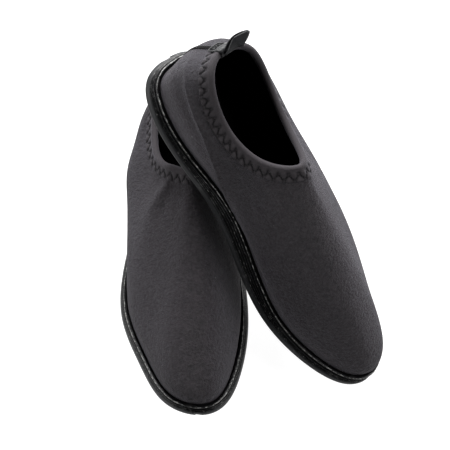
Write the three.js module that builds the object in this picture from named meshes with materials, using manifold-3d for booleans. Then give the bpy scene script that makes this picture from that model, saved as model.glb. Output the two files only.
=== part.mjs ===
// A pair of low-cut neoprene slip-on water shoes: the right shoe stands flat, and the left one
// leans on it, toe on the ground and heel raised. Millimetres, +Z up, toes towards -Y.
import * as THREE from 'three';
import { mergeVertices } from 'three/addons/utils/BufferGeometryUtils.js';
import Module from 'manifold-3d';

const wasm = await Module();
wasm.setup();

// ---------------------------------------------------------------- driving dimensions

const CLEARANCE = 0.3;               // between pieces that touch
const SOLE = {
  length: 268,                       // heel to toe along the outline
  heelHalf: 33,                      // half width at the heel
  waistLateral: 40.5,                // half widths at the waist, outer and inner side
  waistMedial: 27,
  ballLateral: 50.5,                 // half widths at the ball of the foot
  ballMedial: 42,
  toeLateral: 33.5,                  // half widths of the toe
  toeMedial: 37,
  toeTip: 10,                        // how far the tip lies towards the inner side
  flare: 4,                          // how far the ground edge stands out past the top edge
};
const SPRING = { rise: 24, start: 0.65 };   // lift of the toe, and where it starts along the sole
const OUTSOLE = {
  thickness: 4.5,
  chamfer: 0.8,
  treadDepth: 1.8,
  treadPitch: 14,
  groove: 3.4,                       // width of each tread groove along the sole
  chevron: 5,                        // how far a groove's ends lie behind its middle
};
const MIDSOLE = { thickness: 3 };
const BOARD = { thickness: 1.2 };
const INSOLE = { thickness: 3 };
const FOXING = {                     // rubber band round the side
  thickness: 2.6,
  heelTop: 11.5,                     // heights of its top edge above the ground face
  waistTop: 16.5,
  foreTop: 10.8,
  channel: 1.5,                      // stitched channel below the top lip
  channelDepth: 1.3,
  channelLean: 0.2,                  // how far the channel's walls lean
  lip: 1.2,
  lipLean: 0.5,                      // how far the lip's top edge leans in
  groove: 0.8,                       // groove round the middle of the plain step
  grooveDepth: 0.7,
  threadRadius: 0.35,
};
const NEOPRENE = 3;                  // thickness of the upper
const OPENING = {                    // rim of the upper
  back: 4,                           // how far its rear control edge lies ahead of the heel
  length: 99,
  rearHalf: 25.6,                    // half widths: behind, at the ankle, ahead
  sideLateral: 30,
  sideMedial: 25,
  frontHalf: 21,
  heelHeight: 68,                    // heights of the control points
  rearHeight: 74.5,
  sideHeight: 55.5,
  frontHeight: 60.5,
  throatHeight: 91,
};
const BINDING = { width: 8, thickness: 1.1, bond: 0.45 };
const STITCH = { inner: 3.2, outer: 7.2, pitch: 6.4, radius: 0.45 };
const TAB = {                        // pull tab loop at the heel
  width: 12,
  tipWidth: 5,
  height: 25,
  tape: 1.1,
  gap: 2.6,                          // between its two plies at the widest
  rootRadius: 1.7,
  tipSolid: 2.5,                     // how far below the tip the two plies join
  taper: 1.6,                        // power of the narrowing towards the tip
  twistRate: 1.6,                    // how early along the loop its twist is done
  anchorReach: 9.5,                  // sewn-down length on either side of the rim
};
const HEEL_SEAM = {
  tapeWidth: 14,
  tapeThickness: 0.8,
  bond: 0.8,
  stitchWidth: 4,
  stitchPitch: 3.4,
};

// Where the right shoe's heel and the left one's toe lie, and how each is turned in degrees.
// How far the left shoe tips up about its toe follows from the collar that it rests on.
const RIGHT = { x: -43.668, y: 132.102, roll: 0, yaw: -0.7 };
const LEFT = { x: 79.157, y: -94.464, roll: 19.4, yaw: 35.2 };
const REST_GAP = 2.447;              // from the left sole to the right collar, past its thread

// How each pull tab stands: lean of its tip to the outer side, rake backwards and twist
const RIGHT_TAB = { lean: 1, rake: -38, twist: 15 };
const LEFT_TAB = { lean: 7, rake: 12, twist: 70 };

// Mesh fineness: steps round the shoe, and stations up the upper from the sole to the rim
const AROUND = 40;
const UP = [0, 0.17, 0.25, 0.33, 0.42, 0.5, 0.58, 0.68, 0.78, 0.88, 0.94, 1];

// ---------------------------------------------------------------- splines

const rad = THREE.MathUtils.degToRad;

// Uniform cubic B-spline through a list of points (arrays of numbers), place 0 to 1.
// A closed one runs round its points; an open one starts and ends on its end points.
function spline(points, place, closed) {
  const count = closed ? points.length : points.length - 1;
  const s = closed ? (((place % 1) + 1) % 1) * count : Math.min(Math.max(place, 0), 1) * count;
  const i = Math.min(Math.floor(s), count - 1);
  const f = s - i;
  const weights = [
    (1 - f) ** 3,
    3 * f ** 3 - 6 * f ** 2 + 4,
    -3 * f ** 3 + 3 * f ** 2 + 3 * f + 1,
    f ** 3,
  ];
  const last = points.length - 1;
  const point = (k) => {
    if (closed) return points[(k + points.length) % points.length];
    if (k < 0) return points[0].map((value, axis) => 2 * value - points[1][axis]);
    if (k > last) return points[last].map((value, axis) => 2 * value - points[last - 1][axis]);
    return points[k];
  };
  return points[0].map((_, axis) =>
    weights.reduce((sum, weight, k) => sum + (weight / 6) * point(i + k - 1)[axis], 0));
}

// ---------------------------------------------------------------- sole outline and heights

// Sole outline seen from above, from the heel round the outer side, the toe and the inner side:
// sideways place (inner side positive) and place along the sole from the heel.
const { length } = SOLE;
const OUTLINE = [
  [0, -0.022 * length],
  [-0.8 * SOLE.heelHalf, -0.01 * length],
  [-1.06 * SOLE.heelHalf, 0.112 * length],
  [-1.03 * SOLE.heelHalf, 0.243 * length],
  [-SOLE.waistLateral, 0.403 * length],
  [-0.98 * SOLE.ballLateral, 0.56 * length],
  [-1.04 * SOLE.ballLateral, 0.709 * length],
  [-SOLE.toeLateral, 0.851 * length],
  [-0.62 * SOLE.toeLateral + 0.3 * SOLE.toeTip, 0.978 * length],
  [SOLE.toeTip, 1.015 * length],
  [0.75 * SOLE.toeMedial, 0.985 * length],
  [1.02 * SOLE.toeMedial, 0.881 * length],
  [1.04 * SOLE.ballMedial, 0.739 * length],
  [0.94 * SOLE.ballMedial, 0.578 * length],
  [SOLE.waistMedial, 0.403 * length],
  [SOLE.heelHalf, 0.243 * length],
  [1.06 * SOLE.heelHalf, 0.112 * length],
  [0.8 * SOLE.heelHalf, -0.01 * length],
];

function springAt(along) {
  const start = SPRING.start * length;
  return SPRING.rise * Math.max((along - start) / (length - start), 0) ** 2;
}

// Point of the outline, moved outwards by a distance: [sideways, along]
function outlineAt(u, outwards) {
  const [x, along] = spline(OUTLINE, u, true);
  const [x1, along1] = spline(OUTLINE, u + 0.001, true);
  const [x0, along0] = spline(OUTLINE, u - 0.001, true);
  const size = Math.hypot(x1 - x0, along1 - along0);
  return [x - (outwards * (along1 - along0)) / size, along + (outwards * (x1 - x0)) / size];
}

// Shoe frame: X to the inner side, toe towards -Y, heights above the ground face plus the spring
function place(x, along, height) {
  return new THREE.Vector3(x, length / 2 - along, height + springAt(along));
}

const outsoleTop = OUTSOLE.thickness;
const midsoleBottom = outsoleTop + CLEARANCE;
const midsoleTop = midsoleBottom + MIDSOLE.thickness;
const boardBottom = midsoleTop + CLEARANCE;
const boardTop = boardBottom + BOARD.thickness;
const insoleBottom = boardTop + CLEARANCE;
const insoleTop = insoleBottom + INSOLE.thickness;
const upperInset = FOXING.thickness + CLEARANCE;
const boardInset = upperInset + NEOPRENE + CLEARANCE;

// Height of the foxing's top edge: higher along the arch of the inner side
function foxingTop(u) {
  const { heelTop, waistTop, foreTop } = FOXING;
  const between = (heelTop + foreTop) / 2;
  const heights = [
    heelTop, heelTop, heelTop, between, between, foreTop,
    foreTop, foreTop, foreTop, foreTop, foreTop,
    foreTop, between, waistTop, waistTop, between, heelTop, heelTop,
  ];
  return spline(heights.map((value) => [value]), u, true)[0];
}

// How far the side wall stands out past the outline at a height
function flareAt(height) {
  return SOLE.flare * (1 - height / FOXING.heelTop);
}

// ---------------------------------------------------------------- the upper's surface

const openingFront = OPENING.back + OPENING.length;
const ankle = OPENING.back + 0.44 * OPENING.length;
const RIM = [
  [0, OPENING.back - 4, OPENING.heelHeight],
  [-OPENING.rearHalf, OPENING.back + 6, OPENING.rearHeight],
  [-OPENING.sideLateral, ankle, OPENING.sideHeight],
  [-OPENING.frontHalf, openingFront - 14, OPENING.frontHeight],
  [0, openingFront + 6, OPENING.throatHeight],
  [OPENING.frontHalf, openingFront - 14, OPENING.frontHeight],
  [OPENING.sideMedial, ankle, OPENING.sideHeight],
  [OPENING.rearHalf, OPENING.back + 6, OPENING.rearHeight],
];

// The crest where the side wall folds in towards the rim: how far it stands out past the
// outline and its height, at the outline's own stations from the heel round
const CREST = [
  [2, 36], [6, 38], [11, 41], [10.5, 38], [11.5, 30], [3, 25], [-4, 26], [-6, 26], [-6, 26],
  [-5, 25],
  [-5, 26], [-4, 27], [-2, 26], [1, 24], [7, 30], [8, 41], [5, 42], [3, 38],
];

// The shoulder between crest and rim: share of the way to the rim, and lift above that line
const SHOULDER = [
  [0.5, 0], [0.5, 0], [0.5, 1], [0.5, 2], [0.5, 2], [0.5, 4], [0.45, 6], [0.4, 6], [0.38, 4],
  [0.38, 4],
  [0.38, 5], [0.4, 8], [0.45, 9], [0.5, 6], [0.5, 3], [0.5, 2], [0.5, 1], [0.5, 0],
];

// Lines up the upper that start along the toe gather at the throat of the rim
const GATHER = 0.8;
const EDGE_RUN = 10;                 // straight run of each line just below the rim
const WALL_RISE = 3.5;               // the wall stays upright this far above the foxing

function upperLine(u) {
  const low = outlineAt(u, -upperInset);
  const [bulge, crestHeight] = spline(CREST, u, true);
  const crestPlace = outlineAt(u, bulge);
  const onRim = u + (GATHER / (2 * Math.PI)) * Math.sin(2 * Math.PI * u);
  const rim = spline(RIM, onRim, true);
  const crest = [crestPlace[0], crestPlace[1], crestHeight + springAt(crestPlace[1])];
  const [share, lift] = spline(SHOULDER, u, true);
  const shoulder = crest.map((value, axis) => value + share * (rim[axis] - value));
  shoulder[2] += lift;
  const run = Math.hypot(...shoulder.map((value, axis) => value - rim[axis]));
  const edge = rim.map((value, axis) => value + (EDGE_RUN / run) * (shoulder[axis] - value));
  const spring = springAt(low[1]);
  return [
    [low[0], low[1], boardBottom + spring],
    [low[0], low[1], foxingTop(u) + CLEARANCE + spring],
    [low[0], low[1], foxingTop(u) + WALL_RISE + spring],
    crest, shoulder, edge, rim,
  ];
}

// Outer surface of the upper in the shoe frame: u round the shoe, v from the sole to the rim
function upperPoint(u, v) {
  const [x, along, height] = spline(upperLine(u), v, false);
  return new THREE.Vector3(x, length / 2 - along, height);
}

// The surface's own frame: outward normal, direction to the rim, direction round the shoe
function upperFrame(u, v) {
  const step = 0.002;
  const up = Math.min(v + step, 1);
  const toRim = upperPoint(u, up).sub(upperPoint(u, up - 2 * step)).normalize();
  const round = upperPoint(u + step, v).sub(upperPoint(u - step, v)).normalize();
  const normal = new THREE.Vector3().crossVectors(round, toRim).normalize();
  return { toRim, round, normal };
}

// A spot off the upper: its distance from the rim along the surface (negative past the rim)
// and its height off the outer surface. It carries the surface's normal there.
function spotOff(u, fromRim, off) {
  let v = 1;
  let walked = 0;
  let previous = upperPoint(u, 1);
  const step = 0.004;
  while (walked < fromRim) {
    v -= step;
    const next = upperPoint(u, v);
    walked += next.distanceTo(previous);
    previous = next;
  }
  const { normal, toRim } = upperFrame(u, v);
  const point = upperPoint(u, v).addScaledVector(normal, off);
  if (fromRim < 0) point.addScaledVector(toRim, -fromRim);
  return { point, normal };
}

const offUpper = (u, fromRim, off) => spotOff(u, fromRim, off).point;

// ---------------------------------------------------------------- solids

// A closed solid lofted through closed sections. A ring joins its last section to its first;
// otherwise both ends are capped by strips between facing points of the section.
function loft(sections, ring) {
  const size = sections[0].length;
  const positions = sections.flat().flatMap((point) => point.toArray());
  const index = [];
  const links = ring ? sections.length : sections.length - 1;
  for (let s = 0; s < links; s += 1) {
    const next = (s + 1) % sections.length;
    for (let k = 0; k < size; k += 1) {
      const k1 = (k + 1) % size;
      const [a, b, c, d] = [s * size + k, s * size + k1, next * size + k1, next * size + k];
      index.push(a, b, c, a, c, d);
    }
  }
  if (!ring) {
    const end = (sections.length - 1) * size;
    for (let k = 0; k < size / 2 - 1; k += 1) {
      const [a, b, c, d] = [k, k + 1, size - 2 - k, size - 1 - k];
      index.push(a, c, b, a, d, c);
      index.push(end + a, end + b, end + c, end + a, end + c, end + d);
    }
  }
  const geometry = new THREE.BufferGeometry();
  geometry.setAttribute('position', new THREE.Float32BufferAttribute(positions, 3));
  geometry.setIndex(index);
  return facingOut(geometry);
}

function facingOut(geometry) {
  const { array } = geometry.attributes.position;
  const index = geometry.index.array;
  const at = (k) => new THREE.Vector3().fromArray(array, 3 * index[k]);
  let volume = 0;
  for (let k = 0; k < index.length; k += 3) volume += at(k).dot(at(k + 1).cross(at(k + 2)));
  if (volume < 0) {
    for (let k = 0; k < index.length; k += 3) [index[k], index[k + 1]] = [index[k + 1], index[k]];
  }
  return geometry;
}

function toManifold(geometry) {
  const merged = mergeVertices(geometry);
  return new wasm.Manifold(new wasm.Mesh({
    numProp: 3,
    vertProperties: new Float32Array(merged.attributes.position.array),
    triVerts: new Uint32Array(merged.index.array),
  }));
}

function fromManifold(solid) {
  const mesh = solid.getMesh();
  const geometry = new THREE.BufferGeometry();
  geometry.setAttribute('position', new THREE.BufferAttribute(mesh.vertProperties, 3));
  geometry.setIndex(new THREE.BufferAttribute(mesh.triVerts, 1));
  return geometry;
}

const steps = (count) => Array.from({ length: count }, (_, k) => (k + 0.5) / count);

// A loop round the sole at a distance past the outline and a height
function soleLoop(outwards, height) {
  return steps(AROUND).map((u) => place(...outlineAt(u, outwards), height));
}

function soleSlab(inset, bottom, top) {
  return loft([soleLoop(-inset, bottom), soleLoop(-inset, top)], false);
}

// Thread of four sides along points that carry the normal of the surface under them
function thread(stops, radius, ring) {
  const sections = stops.map(({ point, normal }, k) => {
    const before = stops[ring ? (k + stops.length - 1) % stops.length : Math.max(k - 1, 0)].point;
    const after = stops[ring ? (k + 1) % stops.length : Math.min(k + 1, stops.length - 1)].point;
    const tangent = after.clone().sub(before).normalize();
    const side = new THREE.Vector3().crossVectors(tangent, normal).normalize();
    const across = new THREE.Vector3().crossVectors(side, tangent);
    return [0, 1, 2, 3].map((quarter) => {
      const angle = (quarter + 0.5) * (Math.PI / 2);
      return point.clone()
        .addScaledVector(across, radius * Math.sin(angle))
        .addScaledVector(side, radius * Math.cos(angle));
    });
  });
  return loft(sections, ring);
}

// Section of a tape folded over the rim: its reach down either side, its clearance off the
// upper and its thickness
function foldedTape(u, reach, clear, thickness) {
  const outer = clear + thickness;
  const inside = -NEOPRENE;
  const face = (distance, off) => offUpper(u, distance, off);
  const half = reach / 2;
  return [
    face(reach, outer), face(half, outer), face(0, outer),
    face(-outer, 0), face(-outer, inside),
    face(0, inside - outer), face(half, inside - outer), face(reach, inside - outer),
    face(reach, inside - clear), face(half, inside - clear), face(0, inside - clear),
    face(-clear, inside), face(-clear, 0),
    face(0, clear), face(half, clear), face(reach, clear),
  ];
}

// ---------------------------------------------------------------- pieces

function upper() {
  const sections = steps(AROUND).map((u) => {
    const outer = UP.map((v) => upperPoint(u, v));
    const inner = UP.map((v, k) =>
      outer[k].clone().addScaledVector(upperFrame(u, v).normal, -NEOPRENE));
    return [...outer, ...inner.reverse()];
  });
  return loft(sections, true);
}

function collarBinding() {
  const { width, bond, thickness } = BINDING;
  return loft(steps(AROUND).map((u) => foldedTape(u, width, bond, thickness)), true);
}

const bindingFace = BINDING.bond + BINDING.thickness;
const threadOff = bindingFace + CLEARANCE + STITCH.radius;

// How much of u one millimetre takes along the rim at the heel
const heelRate = 0.02 / offUpper(0.01, 0, 0).distanceTo(offUpper(-0.01, 0, 0));
const tabHalfU = (TAB.width / 2) * heelRate;

function rimLength(from, to, count) {
  let total = 0;
  for (let k = 0; k < count; k += 1) {
    const a = offUpper(from + ((to - from) * k) / count, 0, 0);
    total += a.distanceTo(offUpper(from + ((to - from) * (k + 1)) / count, 0, 0));
  }
  return total;
}

// Zigzag along the binding, from one side of the pull tab's anchor round to the other
function collarStitching() {
  const start = tabHalfU + 3 * heelRate;
  const span = 1 - 2 * start;
  const samples = 400;
  const piece = rimLength(start, start + span, samples) / samples;
  const stops = [];
  let walked = STITCH.pitch / 2;
  let outward = false;
  for (let k = 0; k <= samples; k += 1) {
    const u = start + (span * k) / samples;
    if (k > 0) walked += offUpper(u, 0, 0).distanceTo(offUpper(u - span / samples, 0, 0));
    if (walked >= STITCH.pitch / 2 - piece / 2) {
      stops.push(spotOff(u, outward ? STITCH.outer : STITCH.inner, threadOff));
      outward = !outward;
      walked = 0;
    }
  }
  return thread(stops, STITCH.radius, false);
}

// Thin tape down the inside of the heel seam, from below the binding to above the insole
function heelSeamTape() {
  const half = (HEEL_SEAM.tapeWidth / 2) * heelRate;
  const clear = -NEOPRENE - HEEL_SEAM.bond;
  const top = BINDING.width + 2;
  const bottom = OPENING.heelHeight - insoleTop - 4;
  const across = [-1, -0.33, 0.33, 1].map((share) => share * half);
  const rows = [0, 0.25, 0.5, 0.75, 1].map((share) => {
    const distance = top + share * (bottom - top);
    const outer = across.map((u) => offUpper(u, distance, clear));
    const inner = across.map((u) => offUpper(u, distance, clear - HEEL_SEAM.tapeThickness));
    return [...outer, ...inner.reverse()];
  });
  return loft(rows, false);
}

// Zigzag thread down the outside of the heel seam, from below the tab's anchor to the foxing
function heelSeamStitching() {
  const half = (HEEL_SEAM.stitchWidth / 2) * heelRate;
  const top = TAB.anchorReach + 3;
  const bottom = OPENING.heelHeight - FOXING.heelTop - 6;
  const count = Math.round((bottom - top) / (HEEL_SEAM.stitchPitch / 2));
  const stops = Array.from({ length: count + 1 }, (_, k) => {
    const distance = top + ((bottom - top) * k) / count;
    return spotOff(k % 2 ? half : -half, distance, CLEARANCE + STITCH.radius);
  });
  return thread(stops, STITCH.radius, false);
}

function outsole() {
  const { thickness, chamfer, treadDepth, treadPitch, groove, chevron } = OUTSOLE;
  const below = 6;                     // reach of each groove's cutter below the ground face
  let solid = toManifold(loft([
    soleLoop(flareAt(0) - chamfer, 0),
    soleLoop(flareAt(chamfer), chamfer),
    soleLoop(flareAt(thickness), thickness),
  ], false));
  const reach = 1.2 * SOLE.ballLateral;
  const count = Math.floor(length / treadPitch - 1.5);
  for (let k = 1; k <= count; k += 1) {
    const along = k * treadPitch;
    const slope = (springAt(along + 1) - springAt(along - 1)) / 2;
    const shape = new THREE.Shape([
      [-reach, -chevron], [0, 0], [reach, -chevron],
      [reach, groove - chevron], [0, groove], [-reach, groove - chevron],
    ].map(([x, y]) => new THREE.Vector2(x, y)));
    const depth = treadDepth + below;
    const cutter = new THREE.ExtrudeGeometry(shape, { depth, bevelEnabled: false });
    cutter.translate(0, -groove / 2, -below);
    cutter.rotateX(-Math.atan(slope));
    cutter.translate(0, length / 2 - along, springAt(along));
    cutter.deleteAttribute('normal');
    cutter.deleteAttribute('uv');
    solid = solid.subtract(toManifold(cutter));
  }
  return fromManifold(solid);
}

const midsole = () => soleSlab(upperInset, midsoleBottom, midsoleTop);
const strobelBoard = () => soleSlab(boardInset, boardBottom, boardTop);
const insole = () => soleSlab(boardInset + 0.5, insoleBottom, insoleTop);

// Rubber band round the side: a plain lower step, a groove, and a stitched channel under the lip
function foxing() {
  const bottom = midsoleBottom;
  const { channelDepth, channelLean, grooveDepth } = FOXING;
  const half = FOXING.groove / 2;
  const sections = steps(AROUND).map((u) => {
    const top = foxingTop(u);
    const lipLow = top - FOXING.lip;
    const channelLow = lipLow - FOXING.channel;
    const middle = (bottom + channelLow) / 2;
    const wall = (height, sink) =>
      place(...outlineAt(u, Math.max(flareAt(height), 0) - sink), height);
    const back = (height) => place(...outlineAt(u, -FOXING.thickness), height);
    return [
      wall(bottom, 0), wall(middle - half, 0), wall(middle, grooveDepth), wall(middle + half, 0),
      wall(channelLow, 0), wall(channelLow + channelLean, channelDepth),
      wall(lipLow - channelLean / 2, channelDepth), wall(lipLow, channelLean),
      wall(top, FOXING.lipLean), back(top), back(bottom),
    ];
  });
  return loft(sections, true);
}

function foxingStitching() {
  const stops = steps(AROUND).map((u) => {
    const height = foxingTop(u) - FOXING.lip - FOXING.channel / 2;
    const floor = Math.max(flareAt(height), 0) - FOXING.channelDepth;
    const outwards = floor + CLEARANCE + FOXING.threadRadius;
    const point = place(...outlineAt(u, outwards), height);
    const normal = point.clone().sub(place(...outlineAt(u, outwards - 1), height)).normalize();
    return { point, normal };
  });
  return thread(stops, FOXING.threadRadius, true);
}

// Saddle of tape sewn over the binding at the heel, which the loop stands on
const anchorClear = bindingFace + 3 * CLEARANCE;
const anchorFace = anchorClear + TAB.tape;

function pullTabAnchor() {
  const across = [-1, -0.5, 0, 0.5, 1].map((share) => share * tabHalfU);
  return loft(across.map((u) => foldedTape(u, TAB.anchorReach, anchorClear, TAB.tape)), false);
}

// Box of thread that holds the anchor down, on its outer face
function pullTabStitching() {
  const off = anchorFace + CLEARANCE + STITCH.radius;
  const half = 0.7 * tabHalfU;
  const [near, far] = [2, TAB.anchorReach - 1.5];
  const corners = [[-half, near], [half, near], [half, far], [-half, far]];
  const stops = corners.flatMap(([u, distance], k) => {
    const [u1, distance1] = corners[(k + 1) % corners.length];
    return [0, 0.5].map((share) =>
      spotOff(u + share * (u1 - u), distance + share * (distance1 - distance), off));
  });
  return thread(stops, STITCH.radius, true);
}

// Where the loop bends: above the anchor's fold, across the heel
const tabRoot = offUpper(0, 0, -NEOPRENE / 2)
  .addScaledVector(upperFrame(0, 1).toRim, anchorFace + 2 * CLEARANCE + TAB.rootRadius);

// Pull tab: a leaf-shaped loop of tape, round at its root, narrowing, twisting and flopping outwards
function pullTab({ lean, rake, twist }) {
  const rising = new THREE.Vector3(0, Math.sin(rad(rake)), Math.cos(rad(rake)));
  const facing = new THREE.Vector3(0, rising.z, -rising.y);
  const sideways = new THREE.Vector3(1, 0, 0);
  const widest = TAB.gap / 2 + TAB.tape;
  const ply = 0.85 * TAB.tape;
  const leaf = [TAB.rootRadius, 1.2 * TAB.rootRadius, widest, widest, 0.8 * widest, 0.9 * TAB.tape];
  const loopPoint = (share, side, inset) => {
    const half = spline(leaf.map((value) => [value]), share, false)[0] - inset;
    return { rise: share * TAB.height, off: side * half };
  };
  const shares = [0.04, 0.2, 0.4, 0.6, 0.8, 0.96];
  const outerLoop = [
    { rise: -TAB.rootRadius, off: 0 },
    ...shares.map((share) => loopPoint(share, 1, 0)),
    { rise: TAB.height, off: 0 },
    ...shares.map((share) => loopPoint(1 - share, -1, 0)),
  ];
  const innerLoop = [
    { rise: -TAB.rootRadius + TAB.tape, off: 0 },
    ...shares.map((share) => loopPoint(share, 1, ply)),
    { rise: TAB.height - TAB.tipSolid, off: 0 },
    ...shares.map((share) => loopPoint(1 - share, -1, ply)),
  ];
  const sections = outerLoop.map((outer, k) => {
    const inner = innerLoop[k];
    const at = ({ rise, off }, side) => {
      const share = Math.min(Math.max(rise / TAB.height, 0), 1);
      const half = (TAB.width + (TAB.tipWidth - TAB.width) * share ** TAB.taper) / 2;
      const turn = rad(twist) * Math.min(TAB.twistRate * share, 1) ** 2;
      const across = side * half * Math.cos(turn) - off * Math.sin(turn);
      return tabRoot.clone()
        .addScaledVector(rising, rise)
        .addScaledVector(facing, off * Math.cos(turn) + side * half * Math.sin(turn))
        .addScaledVector(sideways, across - lean * share ** 1.5);
    };
    return [at(outer, -1), at(outer, 1), at(inner, 1), at(inner, -1)];
  });
  return loft(sections, true);
}

// ---------------------------------------------------------------- materials and assembly

const finish = (color, roughness) => new THREE.MeshStandardMaterial({ color, roughness, metalness: 0 });
const PIECES = [
  ['outsole', outsole, finish(0x17181a, 0.5)],
  ['midsole', midsole, finish(0x222224, 0.8)],
  ['foxing', foxing, finish(0x151618, 0.35)],
  ['foxing_stitching', foxingStitching, finish(0x2c2d30, 0.7)],
  ['strobel_board', strobelBoard, finish(0x4a4a4c, 0.9)],
  ['insole', insole, finish(0x1b1b1d, 0.9)],
  ['upper', upper, finish(0x2c2b30, 0.85)],
  ['heel_seam_tape', heelSeamTape, finish(0x1c1c1f, 0.8)],
  ['heel_seam_stitching', heelSeamStitching, finish(0x202024, 0.7)],
  ['collar_binding', collarBinding, finish(0x29282d, 0.85)],
  ['collar_stitching', collarStitching, finish(0x1d1d20, 0.6)],
  ['pull_tab_anchor', pullTabAnchor, finish(0x1a1b1d, 0.5)],
  ['pull_tab_stitching', pullTabStitching, finish(0x232326, 0.6)],
  ['pull_tab', pullTab, finish(0x232326, 0.5)],
];

// Turn and place of a shoe whose heel or toe lies where the pose says, with its sole on the ground
function standing({ x, y, roll, yaw }, pitch, anchor, mirrored) {
  const turn = new THREE.Euler(rad(pitch), rad(roll), rad(yaw), 'ZXY');
  const { chamfer } = OUTSOLE;
  const edge = [...soleLoop(flareAt(0) - chamfer, 0), ...soleLoop(flareAt(chamfer), chamfer)];
  const lowest = Math.min(...edge.map((point) =>
    point.setX(mirrored ? -point.x : point.x).applyEuler(turn).z));
  const offset = new THREE.Vector3(0, anchor, 0).applyEuler(turn);
  const matrix = new THREE.Matrix4().makeRotationFromEuler(turn);
  return matrix.setPosition(x - offset.x, y - offset.y, -lowest);
}

// The left shoe's pitch is raised until its sole clears the highest point of the right collar
// and pull tab below it
function resting(rightMatrix) {
  const rim = steps(AROUND).map((u) => offUpper(u, 0, bindingFace));
  const tab = pullTab(RIGHT_TAB).attributes.position;
  const loop = Array.from({ length: tab.count }, (_, k) =>
    new THREE.Vector3().fromBufferAttribute(tab, k));
  const tops = [...rim, ...loop].map((point) => point.applyMatrix4(rightMatrix));
  const leftMatrix = (pitch) => standing(LEFT, pitch, -length / 2, true);
  const gap = (pitch) => {
    const inverse = leftMatrix(pitch).invert();
    const below = tops
      .map((point) => point.clone().applyMatrix4(inverse))
      .filter((point) => Math.abs(point.x) < SOLE.heelHalf && Math.abs(point.y) < length / 2);
    return Math.min(...below.map((point) => -point.z));
  };
  let [low, high] = [0, 60];
  for (let k = 0; k < 40; k += 1) {
    const middle = (low + high) / 2;
    if (gap(middle) < REST_GAP) low = middle;
    else high = middle;
  }
  return leftMatrix(high);
}

function shoe(side, mirrored, matrix, tab) {
  const group = new THREE.Group();
  for (const [name, build, material] of PIECES) {
    const geometry = build(tab);
    if (mirrored) {
      geometry.scale(-1, 1, 1);
      facingOut(geometry);
    }
    const mesh = new THREE.Mesh(geometry, material);
    mesh.name = `${side}_${name}`;
    group.add(mesh);
  }
  group.applyMatrix4(matrix);
  return group;
}

const rightMatrix = standing(RIGHT, 0, length / 2, false);
const pair = new THREE.Group();
pair.add(
  shoe('right', false, rightMatrix, RIGHT_TAB),
  shoe('left', true, resting(rightMatrix), LEFT_TAB),
);

export default pair;
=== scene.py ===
"""Looks for a pair of low-cut neoprene slip-on water shoes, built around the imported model.

Shapes are worked out in millimetres in a shoe's own frame: X to the inner side, toe towards -Y,
heights above the ground face. u runs once round the shoe from the heel over the outer side and
the toe, and v up the upper from the sole to the rim.
"""

import bpy
import numpy as np
from mathutils import Matrix, Vector


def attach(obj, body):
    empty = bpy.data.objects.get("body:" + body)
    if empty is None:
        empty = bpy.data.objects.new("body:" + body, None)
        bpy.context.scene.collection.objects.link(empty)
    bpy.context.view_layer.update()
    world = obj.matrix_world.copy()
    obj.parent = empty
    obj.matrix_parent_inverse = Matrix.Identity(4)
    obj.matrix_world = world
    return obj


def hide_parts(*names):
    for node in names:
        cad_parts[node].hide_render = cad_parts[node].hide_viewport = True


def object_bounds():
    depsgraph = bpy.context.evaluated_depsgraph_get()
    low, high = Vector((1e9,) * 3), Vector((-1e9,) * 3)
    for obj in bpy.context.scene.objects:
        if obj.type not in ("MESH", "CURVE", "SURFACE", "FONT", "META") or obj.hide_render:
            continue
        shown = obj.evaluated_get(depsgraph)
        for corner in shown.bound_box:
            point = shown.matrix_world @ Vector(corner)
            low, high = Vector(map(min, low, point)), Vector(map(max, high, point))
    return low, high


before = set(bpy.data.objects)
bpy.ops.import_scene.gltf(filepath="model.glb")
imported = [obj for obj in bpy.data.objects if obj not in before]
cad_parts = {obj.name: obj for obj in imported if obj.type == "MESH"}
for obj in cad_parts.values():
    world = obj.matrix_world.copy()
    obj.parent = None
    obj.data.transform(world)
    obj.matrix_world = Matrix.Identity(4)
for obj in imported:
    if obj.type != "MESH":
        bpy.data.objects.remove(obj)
CAD_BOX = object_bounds()

bl_info = {
    "name": "Neoprene slip-on shoes",
    "version": (1, 0, 0),
    "blender": (4, 5, 0),
    "location": "View3D > Sidebar > Shoes",
    "description": "Builds the uppers, bindings, stitching, soles and stage of a pair of water shoes",
    "category": "Mesh",
}

MM = 0.001
TURN = 2 * np.pi

# ------------------------------------------------------------------ sizes shared with the frame

LENGTH = 268.0
HEEL_HALF = 33.0
WAIST_OUTER, WAIST_INNER = 40.5, 27.0
BALL_OUTER, BALL_INNER = 50.5, 42.0
TOE_OUTER, TOE_INNER = 33.5, 37.0
TOE_TIP = 10.0
FLARE = 4.0
SPRING_RISE, SPRING_START = 24.0, 0.65
OUTSOLE_TOP = 4.5
FOXING_BOTTOM = 4.8
BOARD_BOTTOM = 8.1
INSOLE_BOTTOM, INSOLE_TOP = 9.6, 12.6
FOXING_THICKNESS = 2.6
FOXING_HEEL, FOXING_WAIST, FOXING_FORE = 11.5, 16.5, 10.8
NEOPRENE = 3.0
CLEARANCE = 0.3
UPPER_INSET = FOXING_THICKNESS + CLEARANCE
GATHER = 0.8
EDGE_RUN = 10.0
WALL_RISE = 3.5

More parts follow.
